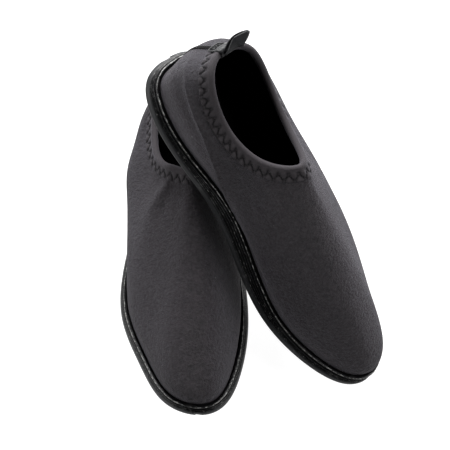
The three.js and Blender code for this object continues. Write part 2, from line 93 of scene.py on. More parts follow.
OUTLINE = np.array([
    [0, -0.022 * LENGTH],
    [-0.8 * HEEL_HALF, -0.01 * LENGTH],
    [-1.06 * HEEL_HALF, 0.112 * LENGTH],
    [-1.03 * HEEL_HALF, 0.243 * LENGTH],
    [-WAIST_OUTER, 0.403 * LENGTH],
    [-0.98 * BALL_OUTER, 0.56 * LENGTH],
    [-1.04 * BALL_OUTER, 0.709 * LENGTH],
    [-TOE_OUTER, 0.851 * LENGTH],
    [-0.62 * TOE_OUTER + 0.3 * TOE_TIP, 0.978 * LENGTH],
    [TOE_TIP, 1.015 * LENGTH],
    [0.75 * TOE_INNER, 0.985 * LENGTH],
    [1.02 * TOE_INNER, 0.881 * LENGTH],
    [1.04 * BALL_INNER, 0.739 * LENGTH],
    [0.94 * BALL_INNER, 0.578 * LENGTH],
    [WAIST_INNER, 0.403 * LENGTH],
    [HEEL_HALF, 0.243 * LENGTH],
    [1.06 * HEEL_HALF, 0.112 * LENGTH],
    [0.8 * HEEL_HALF, -0.01 * LENGTH],
])
RIM = np.array([
    [0, 0, 68], [-25.6, 10, 74.5], [-30, 47.56, 55.5], [-21, 89, 60.5],
    [0, 109, 91], [21, 89, 60.5], [25, 47.56, 55.5], [25.6, 10, 74.5],
])
CREST = np.array([
    [2, 36], [6, 38], [11, 41], [10.5, 38], [11.5, 30], [3, 25], [-4, 26], [-6, 26], [-6, 26],
    [-5, 25], [-5, 26], [-4, 27], [-2, 26], [1, 24], [7, 30], [8, 41], [5, 42], [3, 38],
])
SHOULDER = np.array([
    [0.5, 0], [0.5, 0], [0.5, 1], [0.5, 2], [0.5, 2], [0.5, 4], [0.45, 6], [0.4, 6], [0.38, 4],
    [0.38, 4], [0.38, 5], [0.4, 8], [0.45, 9], [0.5, 6], [0.5, 3], [0.5, 2], [0.5, 1], [0.5, 0],
])
FOXING_TOPS = np.array([FOXING_HEEL] * 3 + [11.15] * 2 + [FOXING_FORE] * 7
                       + [11.15, FOXING_WAIST, FOXING_WAIST, 11.15] + [FOXING_HEEL] * 2)

# Where each shoe lies: mirrored or not, place in mm, and turns in degrees about Y, X and Z
POSES = {
    "right": {"mirrored": False, "place": (-45.305, -1.888, 0), "turns": (0, 0, -0.7)},
    "left": {"mirrored": True, "place": (10.3956, 3.0114, 47.647), "turns": (19.4, 27.1007, 35.2)},
}
SIDES = ("right", "left")

# How the pull tabs stand: lean to the outer side in mm, rake and twist in degrees
TABS = {"right": (1, -38, 15), "left": (5, 12, 70)}
TAB_WIDTH, TAB_HEIGHT, TAB_TAPE, TAB_GAP, TAB_ROOT = 12.0, 25.0, 1.1, 2.6, 1.7
TAB_ROOT_RISE = 5.85                  # from the middle of the rim to the loop's bend
TAB_TIP = 2.2                         # where both plies are one

# ------------------------------------------------------------------ sizes of the looks alone, in mm

LEFT_FOLD = 1.35                      # how much further than the right one the left crest folds out
THREAD_SIDES = 6
BOND = 0.1                            # between the upper and what lies on it
BINDING_EDGE, BINDING_BODY, BINDING_ROLL = 0.3, 0.8, 1.05
BINDING_INSIDE = 0.86                 # how far the binding reaches inside, as a share of outside
ZIGZAG_MIDDLE = 6.0                   # distance from the rim at which the zigzags are counted
SEAM_GAP, SEAM_HALF, SEAM_FROM, SEAM_TO = 0.15, 7.0, 10.0, 51.4
FLATLOCK_HALF, FLATLOCK_FROM, FLATLOCK_RUN, FLATLOCK_STITCHES = 2.0, 12.5, 38.0, 44
SADDLE_CLEAR, SADDLE_TAPE, SADDLE_REACH = 1.5, 0.8, 9.5
BOX_HALF, BOX_FROM, BOX_TO = 0.72, 2.2, 8.0     # box of thread; its half width as a share
PULL_DEPTH, PULL_MIDDLE, PULL_HALF = 0.55, 5.2, 3.4     # how the box pulls the saddle in
LIP, CHANNEL, CHANNEL_DEPTH, CHANNEL_THREAD = 1.3, 1.5, 1.2, 0.36
CHEVRON_RISE, CHEVRON_HALF, GROOVE_HALF = 5.0, 60.6, 1.7

# ------------------------------------------------------------------ fixed tones and the stage

SHEEN_TINT = (0.86, 0.84, 1.0, 1.0)
LINT = (0.3, 0.3, 0.31, 1)
DUST = (0.09, 0.09, 0.088, 1)
# Pale tone of the specks on the foxing's lip and rib tops: partly scuffing, partly painted highlight.
RUBBED_AND_HIGHLIGHT = (0.3, 0.3, 0.29, 1)
WHITE = (1, 1, 1, 1)
LOOK_AT = Vector((-0.018405, 0.018312, 0.0))
FLOOR_HALF, FLOOR_GAP, FLOOR_GLOW = 4.0, 0.0004, 0.95
LIGHT_WIDTH = 0.7


# ------------------------------------------------------------------ settings a user may change

def size(name, description, default):
    return bpy.props.FloatProperty(name=name, description=description, default=default,
                                   min=0.0, subtype="DISTANCE", unit="LENGTH")


def amount(name, description, default):
    return bpy.props.FloatProperty(name=name, description=description, default=default, min=0.0)


def power(name, description, default):
    return bpy.props.FloatProperty(name=name, description=description, default=default,
                                   min=0.0, subtype="POWER", unit="POWER")


def colour(name, description, default):
    return bpy.props.FloatVectorProperty(name=name, description=description, default=default,
                                         size=3, min=0.0, max=1.0, subtype="COLOR")


class ShoeUpperSettings(bpy.types.PropertyGroup):
    """Fabric, edge and thread of the uppers."""

    zigzag_pitch: size("Zigzag pitch", "Length of one zigzag along the collar", 0.0072)
    zigzag_inner: size("Zigzag inner edge", "Distance of its inner needle row from the rim", 0.0034)
    zigzag_outer: size("Zigzag outer edge", "Distance of its outer needle row from the rim", 0.0086)
    thread: size("Thread radius", "Radius of the sewing thread", 0.0003)
    binding_reach: size("Binding reach", "How far the edge tape comes down the outside", 0.0095)
    needle_depth: size("Needle dimple depth", "How deep each needle hole pulls the tape in", 0.0012)
    fold: size("Fold height", "How far the crest of the quarter folds out", 0.0026)
    slack: size("Slack", "Depth of the soft unevenness of the fabric", 0.00055)
    knit: size("Knit pitch", "Width of one wale of the knitted face", 0.0011)
    fabric: colour("Fabric colour", "Knitted face of the neoprene", (0.0198, 0.0172, 0.0192))
    # Far darker than the fabric: the mesh's own black plus painted shade inside the opening.
    lining: colour("Lining colour", "Mesh inside the shoe", (0.0012, 0.0013, 0.002))
    binding: colour("Binding colour", "Stretch tape round the collar", (0.0198, 0.0172, 0.0192))
    yarn: colour("Thread colour", "Sewing thread", (0.0022, 0.0021, 0.0024))
    tape: colour("Tape colour", "Satin tape of the pull tabs", (0.0095, 0.0098, 0.011))


class ShoeSoleSettings(bpy.types.PropertyGroup):
    """Rubber band, outsole and insole."""

    rib_depth: size("Rib groove depth", "Depth of the grooves round the rubber band", 0.0011)
    ribs: bpy.props.IntProperty(name="Ribs", description="Ribs below the stitched channel",
                                default=4, min=1, max=6)
    stitch: size("Stitch length", "Length of one stitch in the channel", 0.0042)
    tread_pitch: size("Tread pitch", "From one chevron groove to the next", 0.014)
    tread_depth: size("Tread depth", "Depth of the chevron grooves", 0.0018)
    band: colour("Band colour", "Rubber band round the side", (0.003, 0.003, 0.0034))
    outsole: colour("Outsole colour", "Rubber that meets the ground", (0.012, 0.0125, 0.0135))
    insole: colour("Insole colour", "Cloth face of the insole", (0.0014, 0.0015, 0.002))


class ShoeStageSettings(bpy.types.PropertyGroup):
    """Floor, light and camera."""

    floor: colour("Floor colour", "Plain pale floor", (0.3, 0.3, 0.3))
    sky: amount("Sky strength", "Even light from all round", 0.03)
    back: power("Back light", "Large soft light behind the heels", 47.0)
    left: power("Left light", "Soft light on the left", 13.0)
    right: power("Right light", "Soft light on the right", 16.0)
    distance: size("Camera distance", "From the camera to the point it looks at", 1.0344)
    elevation: bpy.props.FloatProperty(name="Camera elevation", description="Above the horizon",
                                       default=np.radians(69.4), subtype="ANGLE", unit="ROTATION")
    lens: amount("Lens", "Focal length in millimetres on a 36 mm sensor", 104.0)


# ------------------------------------------------------------------ splines and the shoe's form

def basis(f):
    """The four weights of a uniform cubic B-spline at the fraction f of a span."""
    return np.stack([(1 - f) ** 3, 3 * f ** 3 - 6 * f ** 2 + 4,
                     -3 * f ** 3 + 3 * f ** 2 + 3 * f + 1, f ** 3]) / 6


def closed_spline(points, u):
    """Closed cubic B-spline: each place u blends the four control points around it."""
    points = np.asarray(points, float)
    s = (np.asarray(u, float) % 1.0) * len(points)
    i = np.minimum(s.astype(int), len(points) - 1)
    index = (i[None] + np.arange(-1, 3).reshape(-1, *([1] * i.ndim))) % len(points)
    weights = basis(s - i)
    extra = points.ndim - 1
    return (weights.reshape(weights.shape + (1,) * extra) * points[index]).sum(0)


def open_spline(lines, v):
    """Open cubic B-spline from the first to the last of the control points lines[k, column],
    at heights v[row, column]. The end points are mirrored outwards so that it reaches them."""
    padded = np.concatenate([2 * lines[:1] - lines[1:2], lines, 2 * lines[-1:] - lines[-2:-1]])
    spans = len(lines) - 1
    s = np.clip(v, 0, 1) * spans
    i = np.minimum(s.astype(int), spans - 1)
    columns = np.arange(lines.shape[1])[None, :]
    weights = basis(s - i)
    return sum(weights[k][..., None] * padded[i + k, columns] for k in range(4))


def outline(u, outwards=0.0):
    """Sole outline seen from above, moved along its outward normal: (sideways, along)."""
    here, after, before = (closed_spline(OUTLINE, u + du) for du in (0.0, 0.001, -0.001))
    step = after - before
    step = step / np.linalg.norm(step, axis=-1, keepdims=True)
    return here[..., 0] - outwards * step[..., 1], here[..., 1] + outwards * step[..., 0]


def spring(along):
    """Lift of the toe: a parabola from SPRING_START of the length."""
    start = SPRING_START * LENGTH
    return SPRING_RISE * np.maximum((along - start) / (LENGTH - start), 0) ** 2


def place(across, height):
    """Shoe-frame points from (sideways, along) and a height above the ground face."""
    x, along = across
    return np.stack(np.broadcast_arrays(x, LENGTH / 2 - along, height + spring(along)), -1)


def foxing_top(u):
    """Height of the rubber band's top edge, raised along the inner waist."""
    return closed_spline(FOXING_TOPS, u)


def flare_at(height):
    """How far the side wall stands out past the outline at a height."""
    return FLARE * (1 - height / FOXING_HEEL)


def bell(x, width):
    """Gaussian bump of the given half width."""
    return np.exp(-(x / width) ** 2)


def folded(x):
    """Section of a folded crest: a long slope above it, a thin welt on it, and an undercut hollow
    below."""
    above = 0.78 * np.exp(-np.maximum(x, 0) / 10)
    under = np.exp(np.minimum(x, 0) / 3) - 0.9 * bell(np.minimum(x, 0) + 7, 5.6) - 0.03
    return np.where(x > 0, above, under) + 0.3 * bell(x, 1.3)


def arc_length(points, axis=0):
    """Distance walked along one axis of a grid of points, from 0."""
    steps = np.linalg.norm(np.diff(points, axis=axis), axis=-1)
    return np.insert(np.cumsum(steps, axis), 0, 0, axis)


def round_distance(u, centre):
    """Signed distance of u from a place on the closed round of the shoe, -0.5 to 0.5."""
    return (u - centre + 0.5) % 1.0 - 0.5


class Upper:
    """The outer surface of one upper: lines of seven control points (sole, band top, wall, crest,
    shoulder, edge, rim) followed as B-splines, then a small displacement along the normal."""

    def __init__(self, side, settings):
        self.side = side
        self.fold = settings.fold / MM * (LEFT_FOLD if side == "left" else 1.0)
        self.slack = settings.slack / MM

    def lines(self, u):
        low = np.stack(outline(u, -UPPER_INSET), -1)
        bulge, crest_height = np.moveaxis(closed_spline(CREST, u), -1, 0)
        crest_across = np.stack(outline(u, bulge + self.lean(u)), -1)
        on_rim = u + (GATHER / TURN) * np.sin(TURN * u)
        rim = closed_spline(RIM, on_rim)
        rim += self.rim_kink(u)[:, None] * (-0.3, 0.1, 1)
        rim[:, 0] -= self.rim_spread(u)
        crest = np.column_stack([crest_across, crest_height + spring(crest_across[:, 1])])
        share, lift = np.moveaxis(closed_spline(SHOULDER, u), -1, 0)
        shoulder = crest + share[:, None] * (rim - crest)
        shoulder[:, 2] += lift
        run = np.linalg.norm(shoulder - rim, axis=1, keepdims=True)
        slope = (shoulder - rim) / run + self.stand(u)[:, None] * (0, 0, -1)
        edge = rim + EDGE_RUN * slope / np.linalg.norm(slope, axis=1, keepdims=True)
        rise = spring(low[:, 1])
        heights = (BOARD_BOTTOM, foxing_top(u) + CLEARANCE, foxing_top(u) + WALL_RISE)
        lowest = [np.column_stack([low, height + rise]) for height in heights]
        lines = np.stack([*lowest, crest, shoulder, edge, rim])
        lines[..., 1] = LENGTH / 2 - lines[..., 1]
        return lines

    def lean(self, u):
        """How far the crest of the right outer side stands out under the left shoe's weight: drawn
        in near the heel and pushed out ahead of it."""
        if self.side == "left":
            return 0 * u
        return 6.5 * bell(round_distance(u, 0.195), 0.035) - 7 * bell(round_distance(u, 0.1), 0.03)

    def stand(self, u):
        """How upright the collar stands over its last stretch: more on the right outer side."""
        if self.side == "left":
            return 0.25 * bell(round_distance(u, 0.25), 0.12)
        return 1.1 * bell(round_distance(u, 0.27), 0.13) + 0.25

    def crest_line(self, u):
        """Height v of the inner side's folded crest, which runs down into the band at the waist."""
        return np.interp(u % 1.0, [0.75, 0.78, 0.82, 0.86, 0.9], [0.35, 0.43, 0.54, 0.61, 0.63])

    def rim_kink(self, u):
        """The right shoe's collar is pushed into a small peak beside the throat."""
        if self.side == "left":
            return 0 * u
        return 1.5 * bell(round_distance(u, 0.31), 0.03)

    def rim_spread(self, u):
        """How far the left shoe's weight spreads the right collar to the outer side."""
        if self.side == "left":
            return 0 * u
        return 6.0 * bell(round_distance(u, 0.25), 0.09)

    def base(self, u, v):
        return open_spline(self.lines(u), v)

    def tangents(self, u, v):
        """Unit vectors towards the rim, round the shoe and outwards."""
        step = 0.002
        up = np.minimum(v + step, 1)
        to_rim = self.base(u, up) - self.base(u, up - 2 * step)
        around = self.base(u + step, v) - self.base(u - step, v)
        to_rim /= np.linalg.norm(to_rim, axis=-1, keepdims=True)
        around /= np.linalg.norm(around, axis=-1, keepdims=True)
        normal = np.cross(around, to_rim)
        return to_rim, around, normal / np.linalg.norm(normal, axis=-1, keepdims=True)

    def relief(self, u, v):
        """Displacement along the normal: a folded crest, soft waves, puckers above the band and
        the creases of each shoe. It fades out at the rim and inside the band."""
        u = np.broadcast_to(u, v.shape)
        fade = np.clip((0.97 - v) / 0.12, 0, 1) * np.clip((v - 0.2) / 0.12, 0, 1)
        inner = np.interp(u % 1.0, [0.74, 0.78, 0.84, 0.9, 0.94, 0.99], [0, 0.7, 1, 0.9, 0.4, 0])
        outer = bell(round_distance(u, 0.20), 0.075)
        height = self.fold * (inner * folded((v - self.crest_line(u)) * 80)
                              + 0.4 * outer * folded((v - 0.53) * 80))
        waves = (np.sin(TURN * (3 * u + 0.9 * v) + 0.6) * np.sin(TURN * 1.3 * v + 1.1)
                 + 0.7 * np.sin(TURN * (7 * u - 1.7 * v) + 2.1)
                 + 0.45 * np.sin(TURN * (11 * u + 2.6 * v) + 0.3))
        calm = 1 - 0.75 * bell(round_distance(u, 0.42), 0.12) * np.clip((v - 0.5) / 0.2, 0, 1)
        height = height + self.slack * 0.6 * waves * calm
        puckers = np.sin(TURN * 46 * u + 1.5 * np.sin(TURN * 5 * u))
        toe = bell(round_distance(u, 0.5), 0.16) + 0.4
        height = height + 0.16 * toe * puckers * bell(v - 0.3, 0.055)
        if self.side == "right":
            height = height + self.throat_crease(u, v)
        return height * fade

    def throat_crease(self, u, v):
        """A short soft crease that runs from the right collar's peak down the vamp."""
        across = round_distance(u, 0.305 + 0.17 * (v - 0.74))
        reach = np.clip((v - 0.66) / 0.1, 0, 1) * np.clip((0.93 - v) / 0.08, 0, 1)
        return reach * (0.9 * bell(across, 0.012) - 0.6 * bell(abs(across) - 0.028, 0.016))

    def surface(self, u, v):
        """Outer points and their normals at columns u and heights v[row, column]."""
        _, _, normal = self.tangents(u, v)
        return self.base(u, v) + self.relief(u, v)[..., None] * normal, normal

    def height_at(self, u, distance):
        """The v at which each line is the given distance below the rim, along the surface."""
        stations = 300
        v = np.linspace(1, 0, stations + 1)[:, None] * np.ones_like(u)[None, :]
        walked = arc_length(self.base(u, v))
        out = []
        for row in np.atleast_2d(distance):
            index = np.clip((walked < row[None]).sum(0), 1, stations)
            columns = np.arange(len(u))
            start, end = walked[index - 1, columns], walked[index, columns]
            out.append(1 - (index - 1 + np.clip((row - start) / (end - start), 0, 1)) / stations)
        return np.array(out)

    def spots(self, u, distance, off):
        """Points off the surface: distance from the rim (negative past it) and height off the
        outer face, both [row, column]; with their normals."""
        distance = np.broadcast_to(distance, (len(distance), len(u)))
        v = self.height_at(u, np.maximum(distance, 0))
        points, normal = self.surface(u, v)
        to_rim, _, _ = self.tangents(u, v)
        off = np.broadcast_to(off, distance.shape)[..., None]
        return points + off * normal + np.maximum(-distance, 0)[..., None] * to_rim, normal


def rim_run(upper, distance):
    """Arc length round the collar at a distance below the rim, at 2001 places of u."""
    u = np.linspace(0, 1, 2001)
    points, _ = upper.spots(u, np.full((1, len(u)), distance), 0.0)
    return u, arc_length(points[0])


# ------------------------------------------------------------------ meshes

def grid_faces(rows, columns, ring_rows, ring_columns):
    """Quads of a grid of points, joined end to end in either direction, and each quad's corners
    as row and column numbers that run on past the seam."""
    i, j = np.meshgrid(np.arange(rows if ring_rows else rows - 1),
                       np.arange(columns if ring_columns else columns - 1), indexing="ij")
    i, j = i.ravel(), j.ravel()
    corner_rows = np.stack([i, i, i + 1, i + 1], 1)
    corner_columns = np.stack([j, j + 1, j + 1, j], 1)
    faces = (corner_rows % rows) * columns + corner_columns % columns
    return faces, corner_rows, corner_columns


def cap_faces(rows, columns):
    """Strips between facing points of the first and of the last section."""
    k = np.arange(columns // 2 - 1)
    strip = np.stack([k, columns - 1 - k, columns - 2 - k, k + 1], 1)
    return np.concatenate([strip, (rows - 1) * columns + strip[:, ::-1]])


def run_of(sections, ring, centred):
    """Texture places of a loft, in metres: arc length along the rows and along the columns. The
    first is the mean of all columns, or each column's own from the middle row if centred."""
    full = np.concatenate([sections, sections[:1] if ring else sections[-1:]])
    full = np.concatenate([full, full[:, :1]], 1)
    if centred:
        along = arc_length(full)
        along -= along[len(along) // 2]
    else:
        along = np.zeros(full.shape[:2])
        steps = np.linalg.norm(np.diff(full, axis=0), axis=-1)
        along[1:] = np.cumsum(steps.mean(1))[:, None]
    return np.stack([along, arc_length(full, 1)], -1) * MM


def laid(side, points):
    """Shoe-frame millimetres to the row frame in metres: mirrored for the left shoe, turned about
    Y, then X, then Z, and moved."""
    pose = POSES[side]
    roll, pitch, yaw = (float(np.radians(angle)) for angle in pose["turns"])
    turn = Matrix.Rotation(yaw, 3, "Z") @ Matrix.Rotation(pitch, 3, "X")
    turn = turn @ Matrix.Rotation(roll, 3, "Y")
    flat = points.reshape(-1, 3) * (-1 if pose["mirrored"] else 1, 1, 1)
    return (flat @ np.array(turn).T + np.array(pose["place"])) * MM


def inside_out(points, faces):
    """Whether the faces look into the solid they close, which then has a negative volume."""
    a, b, c, d = (points[faces[:, k]] for k in range(4))
    halves = (np.einsum("ij,ij->i", a, np.cross(p, q)) for p, q in ((b, c), (c, d)))
    return sum(halves).sum() < 0


def solid(side, name, sections, ring, materials, paint=None, tint=None, centred=False):
    """Mesh object lofted through sections[row, column], a closed profile in each row. A ring joins
    its last row to its first, and otherwise strips cap the ends. paint(row, column) picks the
    material of a face; tint gives each point a value from 0 to 1 that its finish may read."""
    rows, columns = sections.shape[:2]
    points = laid(side, sections)
    faces, corner_rows, corner_columns = grid_faces(rows, columns, ring, True)
    run = run_of(sections, ring, centred)
    places = run[corner_rows, corner_columns]
    index = np.zeros(len(faces), int)
    if paint is not None:
        index = paint(corner_rows[:, 0], corner_columns[:, 0])
    if not ring:
        caps = cap_faces(rows, columns)
        faces = np.concatenate([faces, caps])
        places = np.concatenate([places, run[caps // columns, caps % columns]])
        index = np.concatenate([index, np.zeros(len(caps), int)])
    if inside_out(points, faces):
        faces, places = faces[:, ::-1], places[:, ::-1]
    obj = mesh_object(f"{side}_{name}", points, faces, places, index, materials)
    if tint is not None:
        layer = obj.data.attributes.new("tint", "FLOAT", "POINT")
        layer.data.foreach_set("value", np.clip(tint, 0, 1).astype(np.float32).ravel())
    return obj


def mesh_object(name, points, faces, places, index, materials):
    mesh = bpy.data.meshes.new(name)
    mesh.vertices.add(len(points))
    mesh.vertices.foreach_set("co", points.astype(np.float32).ravel())
    mesh.loops.add(faces.size)
    mesh.loops.foreach_set("vertex_index", faces.astype(np.int32).ravel())
    mesh.polygons.add(len(faces))
    mesh.polygons.foreach_set("loop_start", np.arange(0, faces.size, 4, dtype=np.int32))
    mesh.polygons.foreach_set("use_smooth", np.ones(len(faces), bool))
    for material in materials:
        mesh.materials.append(material)
    mesh.polygons.foreach_set("material_index", index.astype(np.int32))
    layer = mesh.uv_layers.new(name="flow")
    layer.data.foreach_set("uv", places.astype(np.float32).ravel())
    mesh.update(calc_edges=True)
    mesh.validate()
    obj = bpy.data.objects.new(name, mesh)
    bpy.context.scene.collection.objects.link(obj)
    return obj


def dress(obj, side, node, body="shoe"):
    """The piece stands for a node of the frame, whose part it hides, and rides on its body."""
    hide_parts(f"{side}_{node}")
    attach(obj, f"{side}_{body}")
    return obj


def tube(path, normal, radius, ring):
    """Round thread along a path: each section is a circle square to the path's direction."""
    if ring:
        tangent = np.roll(path, -1, 0) - np.roll(path, 1, 0)
    else:
        tangent = np.gradient(path, axis=0)
    tangent /= np.linalg.norm(tangent, axis=1, keepdims=True)
    side = np.cross(tangent, normal)
    side /= np.linalg.norm(side, axis=1, keepdims=True)
    up = np.cross(side, tangent)
    angle = TURN * (np.arange(THREAD_SIDES) + 0.5) / THREAD_SIDES
    cosine, sine = np.cos(angle)[None, :, None], np.sin(angle)[None, :, None]
    return path[:, None] + radius * (cosine * side[:, None] + sine * up[:, None])


# ------------------------------------------------------------------ materials

class Wire:
    """A socket of a finish that Python arithmetic extends with Math nodes."""

    def __init__(self, finish, socket):
        self.finish = finish
        self.socket = socket

    def maths(self, operation, *values):
        inputs = dict(enumerate(values))
        return self.finish.node("ShaderNodeMath", settings={"operation": operation}, inputs=inputs)

    def __add__(self, other):
        return self.maths("ADD", self, other)

    def __sub__(self, other):
        return self.maths("SUBTRACT", self, other)

    def __rsub__(self, other):
        return self.maths("SUBTRACT", other, self)

    def __mul__(self, other):
        return self.maths("MULTIPLY", self, other)

    def __truediv__(self, other):
        return self.maths("DIVIDE", self, other)

    def __rtruediv__(self, other):
        return self.maths("DIVIDE", other, self)

    def __abs__(self):
        return self.maths("ABSOLUTE", self)

    def __pow__(self, other):
        return self.maths("POWER", self, other)

    __radd__ = __add__
    __rmul__ = __mul__

    def sine(self):
        return self.maths("SINE", self)

    def fraction(self):
        return self.maths("FRACT", self)

    def above(self, limit):
        return self.maths("GREATER_THAN", self, limit)

    def below(self, limit):
        return self.maths("LESS_THAN", self, limit)


class Finish:
    """One material, with a Principled shader that its wires feed."""

    def __init__(self, name, **constants):
        self.material = bpy.data.materials.new(name)
        self.material.use_nodes = True
        self.tree = self.material.node_tree
        self.shader = next(n for n in self.tree.nodes if n.type == "BSDF_PRINCIPLED")
        for socket, value in constants.items():
            self.shader.inputs[socket.replace("_", " ")].default_value = value

    def node(self, kind, output=0, settings=None, inputs=None):
        made = self.tree.nodes.new(kind)
        for key, value in (settings or {}).items():
            setattr(made, key, value)
        for key, value in (inputs or {}).items():
            if isinstance(value, Wire):
                self.tree.links.new(value.socket, made.inputs[key])
            else:
                made.inputs[key].default_value = value
        return Wire(self, made.outputs[output])

    def feed(self, socket, wire):
        self.tree.links.new(wire.socket, self.shader.inputs[socket])

    def spot(self):
        return self.node("ShaderNodeTexCoord", "Object")

    def flow(self):
        """Places along and across the piece, in metres."""
        places = self.node("ShaderNodeUVMap", settings={"uv_map": "flow"})
        split = self.node("ShaderNodeSeparateXYZ", 0, inputs={0: places})
        return split, Wire(self, split.socket.node.outputs[1])

    def tint(self):
        """The value from 0 to 1 that each point of the mesh carries."""
        return self.node("ShaderNodeAttribute", "Fac", settings={"attribute_name": "tint"})

    def noise(self, scale, detail=2.0, roughness=0.5):
        return self.node("ShaderNodeTexNoise", 0, inputs={
            "Vector": self.spot(), "Scale": scale, "Detail": detail, "Roughness": roughness})

    def blend(self, factor, dark, light):
        """Colour between two, by a factor."""
        return self.node("ShaderNodeMix", 2, settings={"data_type": "RGBA"},
                         inputs={0: factor, 6: dark, 7: light})

    def bump(self, height, distance, strength=1.0):
        self.feed("Normal", self.node("ShaderNodeBump", 0, inputs={
            "Strength": strength, "Distance": distance, "Height": height}))


def shade(tone, factor):
    """The colour, darker or lighter, as RGBA."""
    return (*(min(c * factor, 1.0) for c in tone), 1.0)


def fleck_mask(finish, scale, radius, share):
    """Sparse dots: the middles of a share of the cells of a Voronoi pattern."""
    cells = finish.node("ShaderNodeTexVoronoi", "Distance", inputs={
        "Vector": finish.spot(), "Scale": scale})
    pick = finish.node("ShaderNodeSeparateColor", 0, inputs={
        0: Wire(finish, cells.socket.node.outputs["Color"])})
    return cells.below(radius) * pick.above(1 - share)


def knit_height(finish, pitch):
    """Rows of V-shaped stitches: a rib that leans one way and then the other along each course."""
    around, down = finish.flow()
    lean = abs((down / (1.25 * pitch)).fraction() - 0.5)
    rib = abs(((around / pitch + lean) * np.pi).sine())
    return rib ** 0.6


def neoprene_finish(settings):
    finish = Finish("knitted_neoprene", Roughness=0.86, Sheen_Weight=0.08, Sheen_Roughness=0.45,
                    Specular_IOR_Level=0.2)
    finish.shader.inputs["Sheen Tint"].default_value = SHEEN_TINT
    grain = (finish.noise(520, 3, 0.75) - 0.5) * 3.6
    clouds = finish.noise(26, 4, 0.6)
    knit = knit_height(finish, settings.knit)
    mottle = (finish.noise(240, 2, 0.6) - 0.5) * 2.2
    mix = clouds * 0.4 + grain * 0.55 + mottle * 0.35 + knit * 0.25 + 0.15
    cloth = finish.blend(mix, shade(settings.fabric, 0.35), shade(settings.fabric, 1.7))
    lint = fleck_mask(finish, 120, 0.045, 0.09)
    finish.feed("Base Color", finish.blend(lint * 0.55, cloth, LINT))
    finish.feed("Roughness", 0.78 + clouds * 0.16)
    finish.bump(knit * 0.4 + grain * 0.75 + mottle * 0.6 + lint * 1.5, 0.0008)
    return finish.material


def lining_finish(settings):
    # Painted shade: the lining colour is set far darker than the outer fabric so the inside of the shoe
    # reads as shade, on top of the mesh's own black.
    finish = Finish("mesh_lining", Roughness=0.95, Specular_IOR_Level=0.08)
    around, down = finish.flow()
    holes = (around * (TURN / 0.0022)).sine() * (down * (TURN / 0.0022)).sine()
    clouds = finish.noise(40, 3)
    finish.feed("Base Color", finish.blend(
        holes * 0.35 + clouds * 0.6, shade(settings.lining, 0.55), shade(settings.lining, 1.5)))
    finish.bump(holes, 0.00025)
    return finish.material


def binding_finish(settings):
    """Stretch cloth of the fabric's own tone, with painted shade down in the needle holes."""
    finish = Finish("binding_cloth", Roughness=0.8, Sheen_Weight=0.08, Sheen_Roughness=0.45,
                    Specular_IOR_Level=0.2)
    finish.shader.inputs["Sheen Tint"].default_value = SHEEN_TINT
    around, down = finish.flow()
    ribs = abs((around * (np.pi / 0.0006)).sine())
    courses = abs((down * (np.pi / 0.0008)).sine())
    grain = (finish.noise(900, 3) - 0.5) * 2.6
    weave = ribs * 0.3 + courses * 0.15
    plain = finish.blend(
        weave + grain * 0.5 + 0.3, shade(settings.binding, 0.65), shade(settings.binding, 1.35))
    # Painted shade: where the mesh's tint is high, in the needle holes and along the thread, the colour
    # darkens towards black.
    finish.feed("Base Color", finish.blend(finish.tint(), plain, shade(settings.binding, 0.06)))
    finish.feed("Roughness", 0.74 + ribs * 0.1)
    finish.bump(weave + grain * 0.4, 0.00025)
    return finish.material


def thread_finish(settings):
    finish = Finish("dark_thread", Roughness=0.7, Specular_IOR_Level=0.12)
    around, across = finish.flow()
    twist = abs((around * (np.pi / 0.0007) + across * (np.pi / 0.001)).sine())
    finish.feed("Base Color", finish.blend(
        twist, shade(settings.yarn, 0.6), shade(settings.yarn, 1.6)))
    finish.bump(twist, 0.00012)
    return finish.material


def satin_finish(settings, name="satin_tape", gloss=0.42, tone=1.0):
    finish = Finish(name, Roughness=gloss, Sheen_Weight=0.05, Sheen_Roughness=0.35,
                    Specular_IOR_Level=0.2)
    around, across = finish.flow()
    twill = abs(((around + across) * (np.pi / 0.0007)).sine())
    cords = abs((across * (np.pi / 0.0011)).sine())
    grain = finish.noise(700, 3)
    weave = twill * 0.45 + cords * 0.25
    finish.feed("Base Color", finish.blend(
        weave + grain * 0.35, shade(settings.tape, 0.55 * tone), shade(settings.tape, 1.45 * tone)))
    finish.feed("Roughness", gloss - 0.08 + grain * 0.2)
    finish.bump(weave + grain * 0.3, 0.00016)
    return finish.material


def rubber_finish(name, tone, gloss, dust, worn_and_highlit=False):
    """Moulded rubber: cloudy blacks, fine pitting, scuffed patches and a trace of dust. Where the mesh's
    tint is high, a band with pale specks gets them on its lip and rib tops: partly scuffing from use,
    partly painted highlight."""
    finish = Finish(name, Roughness=gloss, Specular_IOR_Level=0.18)
    clouds = finish.noise(55, 5, 0.6)
    pits = finish.noise(1100, 3, 0.6)
    scuffs = finish.node("ShaderNodeMapRange", 0, inputs={
        "Value": finish.noise(130, 6, 0.7), "From Min": 0.55, "From Max": 0.75})
    plain = finish.blend(clouds, shade(tone, 0.6), shade(tone, 1.5))
    marked = finish.blend(scuffs * dust, plain, DUST)
    if worn_and_highlit:
        # Pale specks where the tint is high: partly scuffing, partly painted highlight.
        rubbed_and_highlit = finish.node("ShaderNodeMapRange", 0, inputs={
            "Value": finish.noise(420, 4, 0.75) + finish.tint() * 0.22,
            "From Min": 0.66, "From Max": 0.78})
        marked = finish.blend(rubbed_and_highlit * finish.tint(), marked, RUBBED_AND_HIGHLIGHT)
    finish.feed("Base Color", marked)
    finish.feed("Roughness", gloss - 0.08 + clouds * 0.14 + scuffs * 0.25)
    finish.bump(pits * 0.7 + clouds * 0.5, 0.0002)
    return finish.material


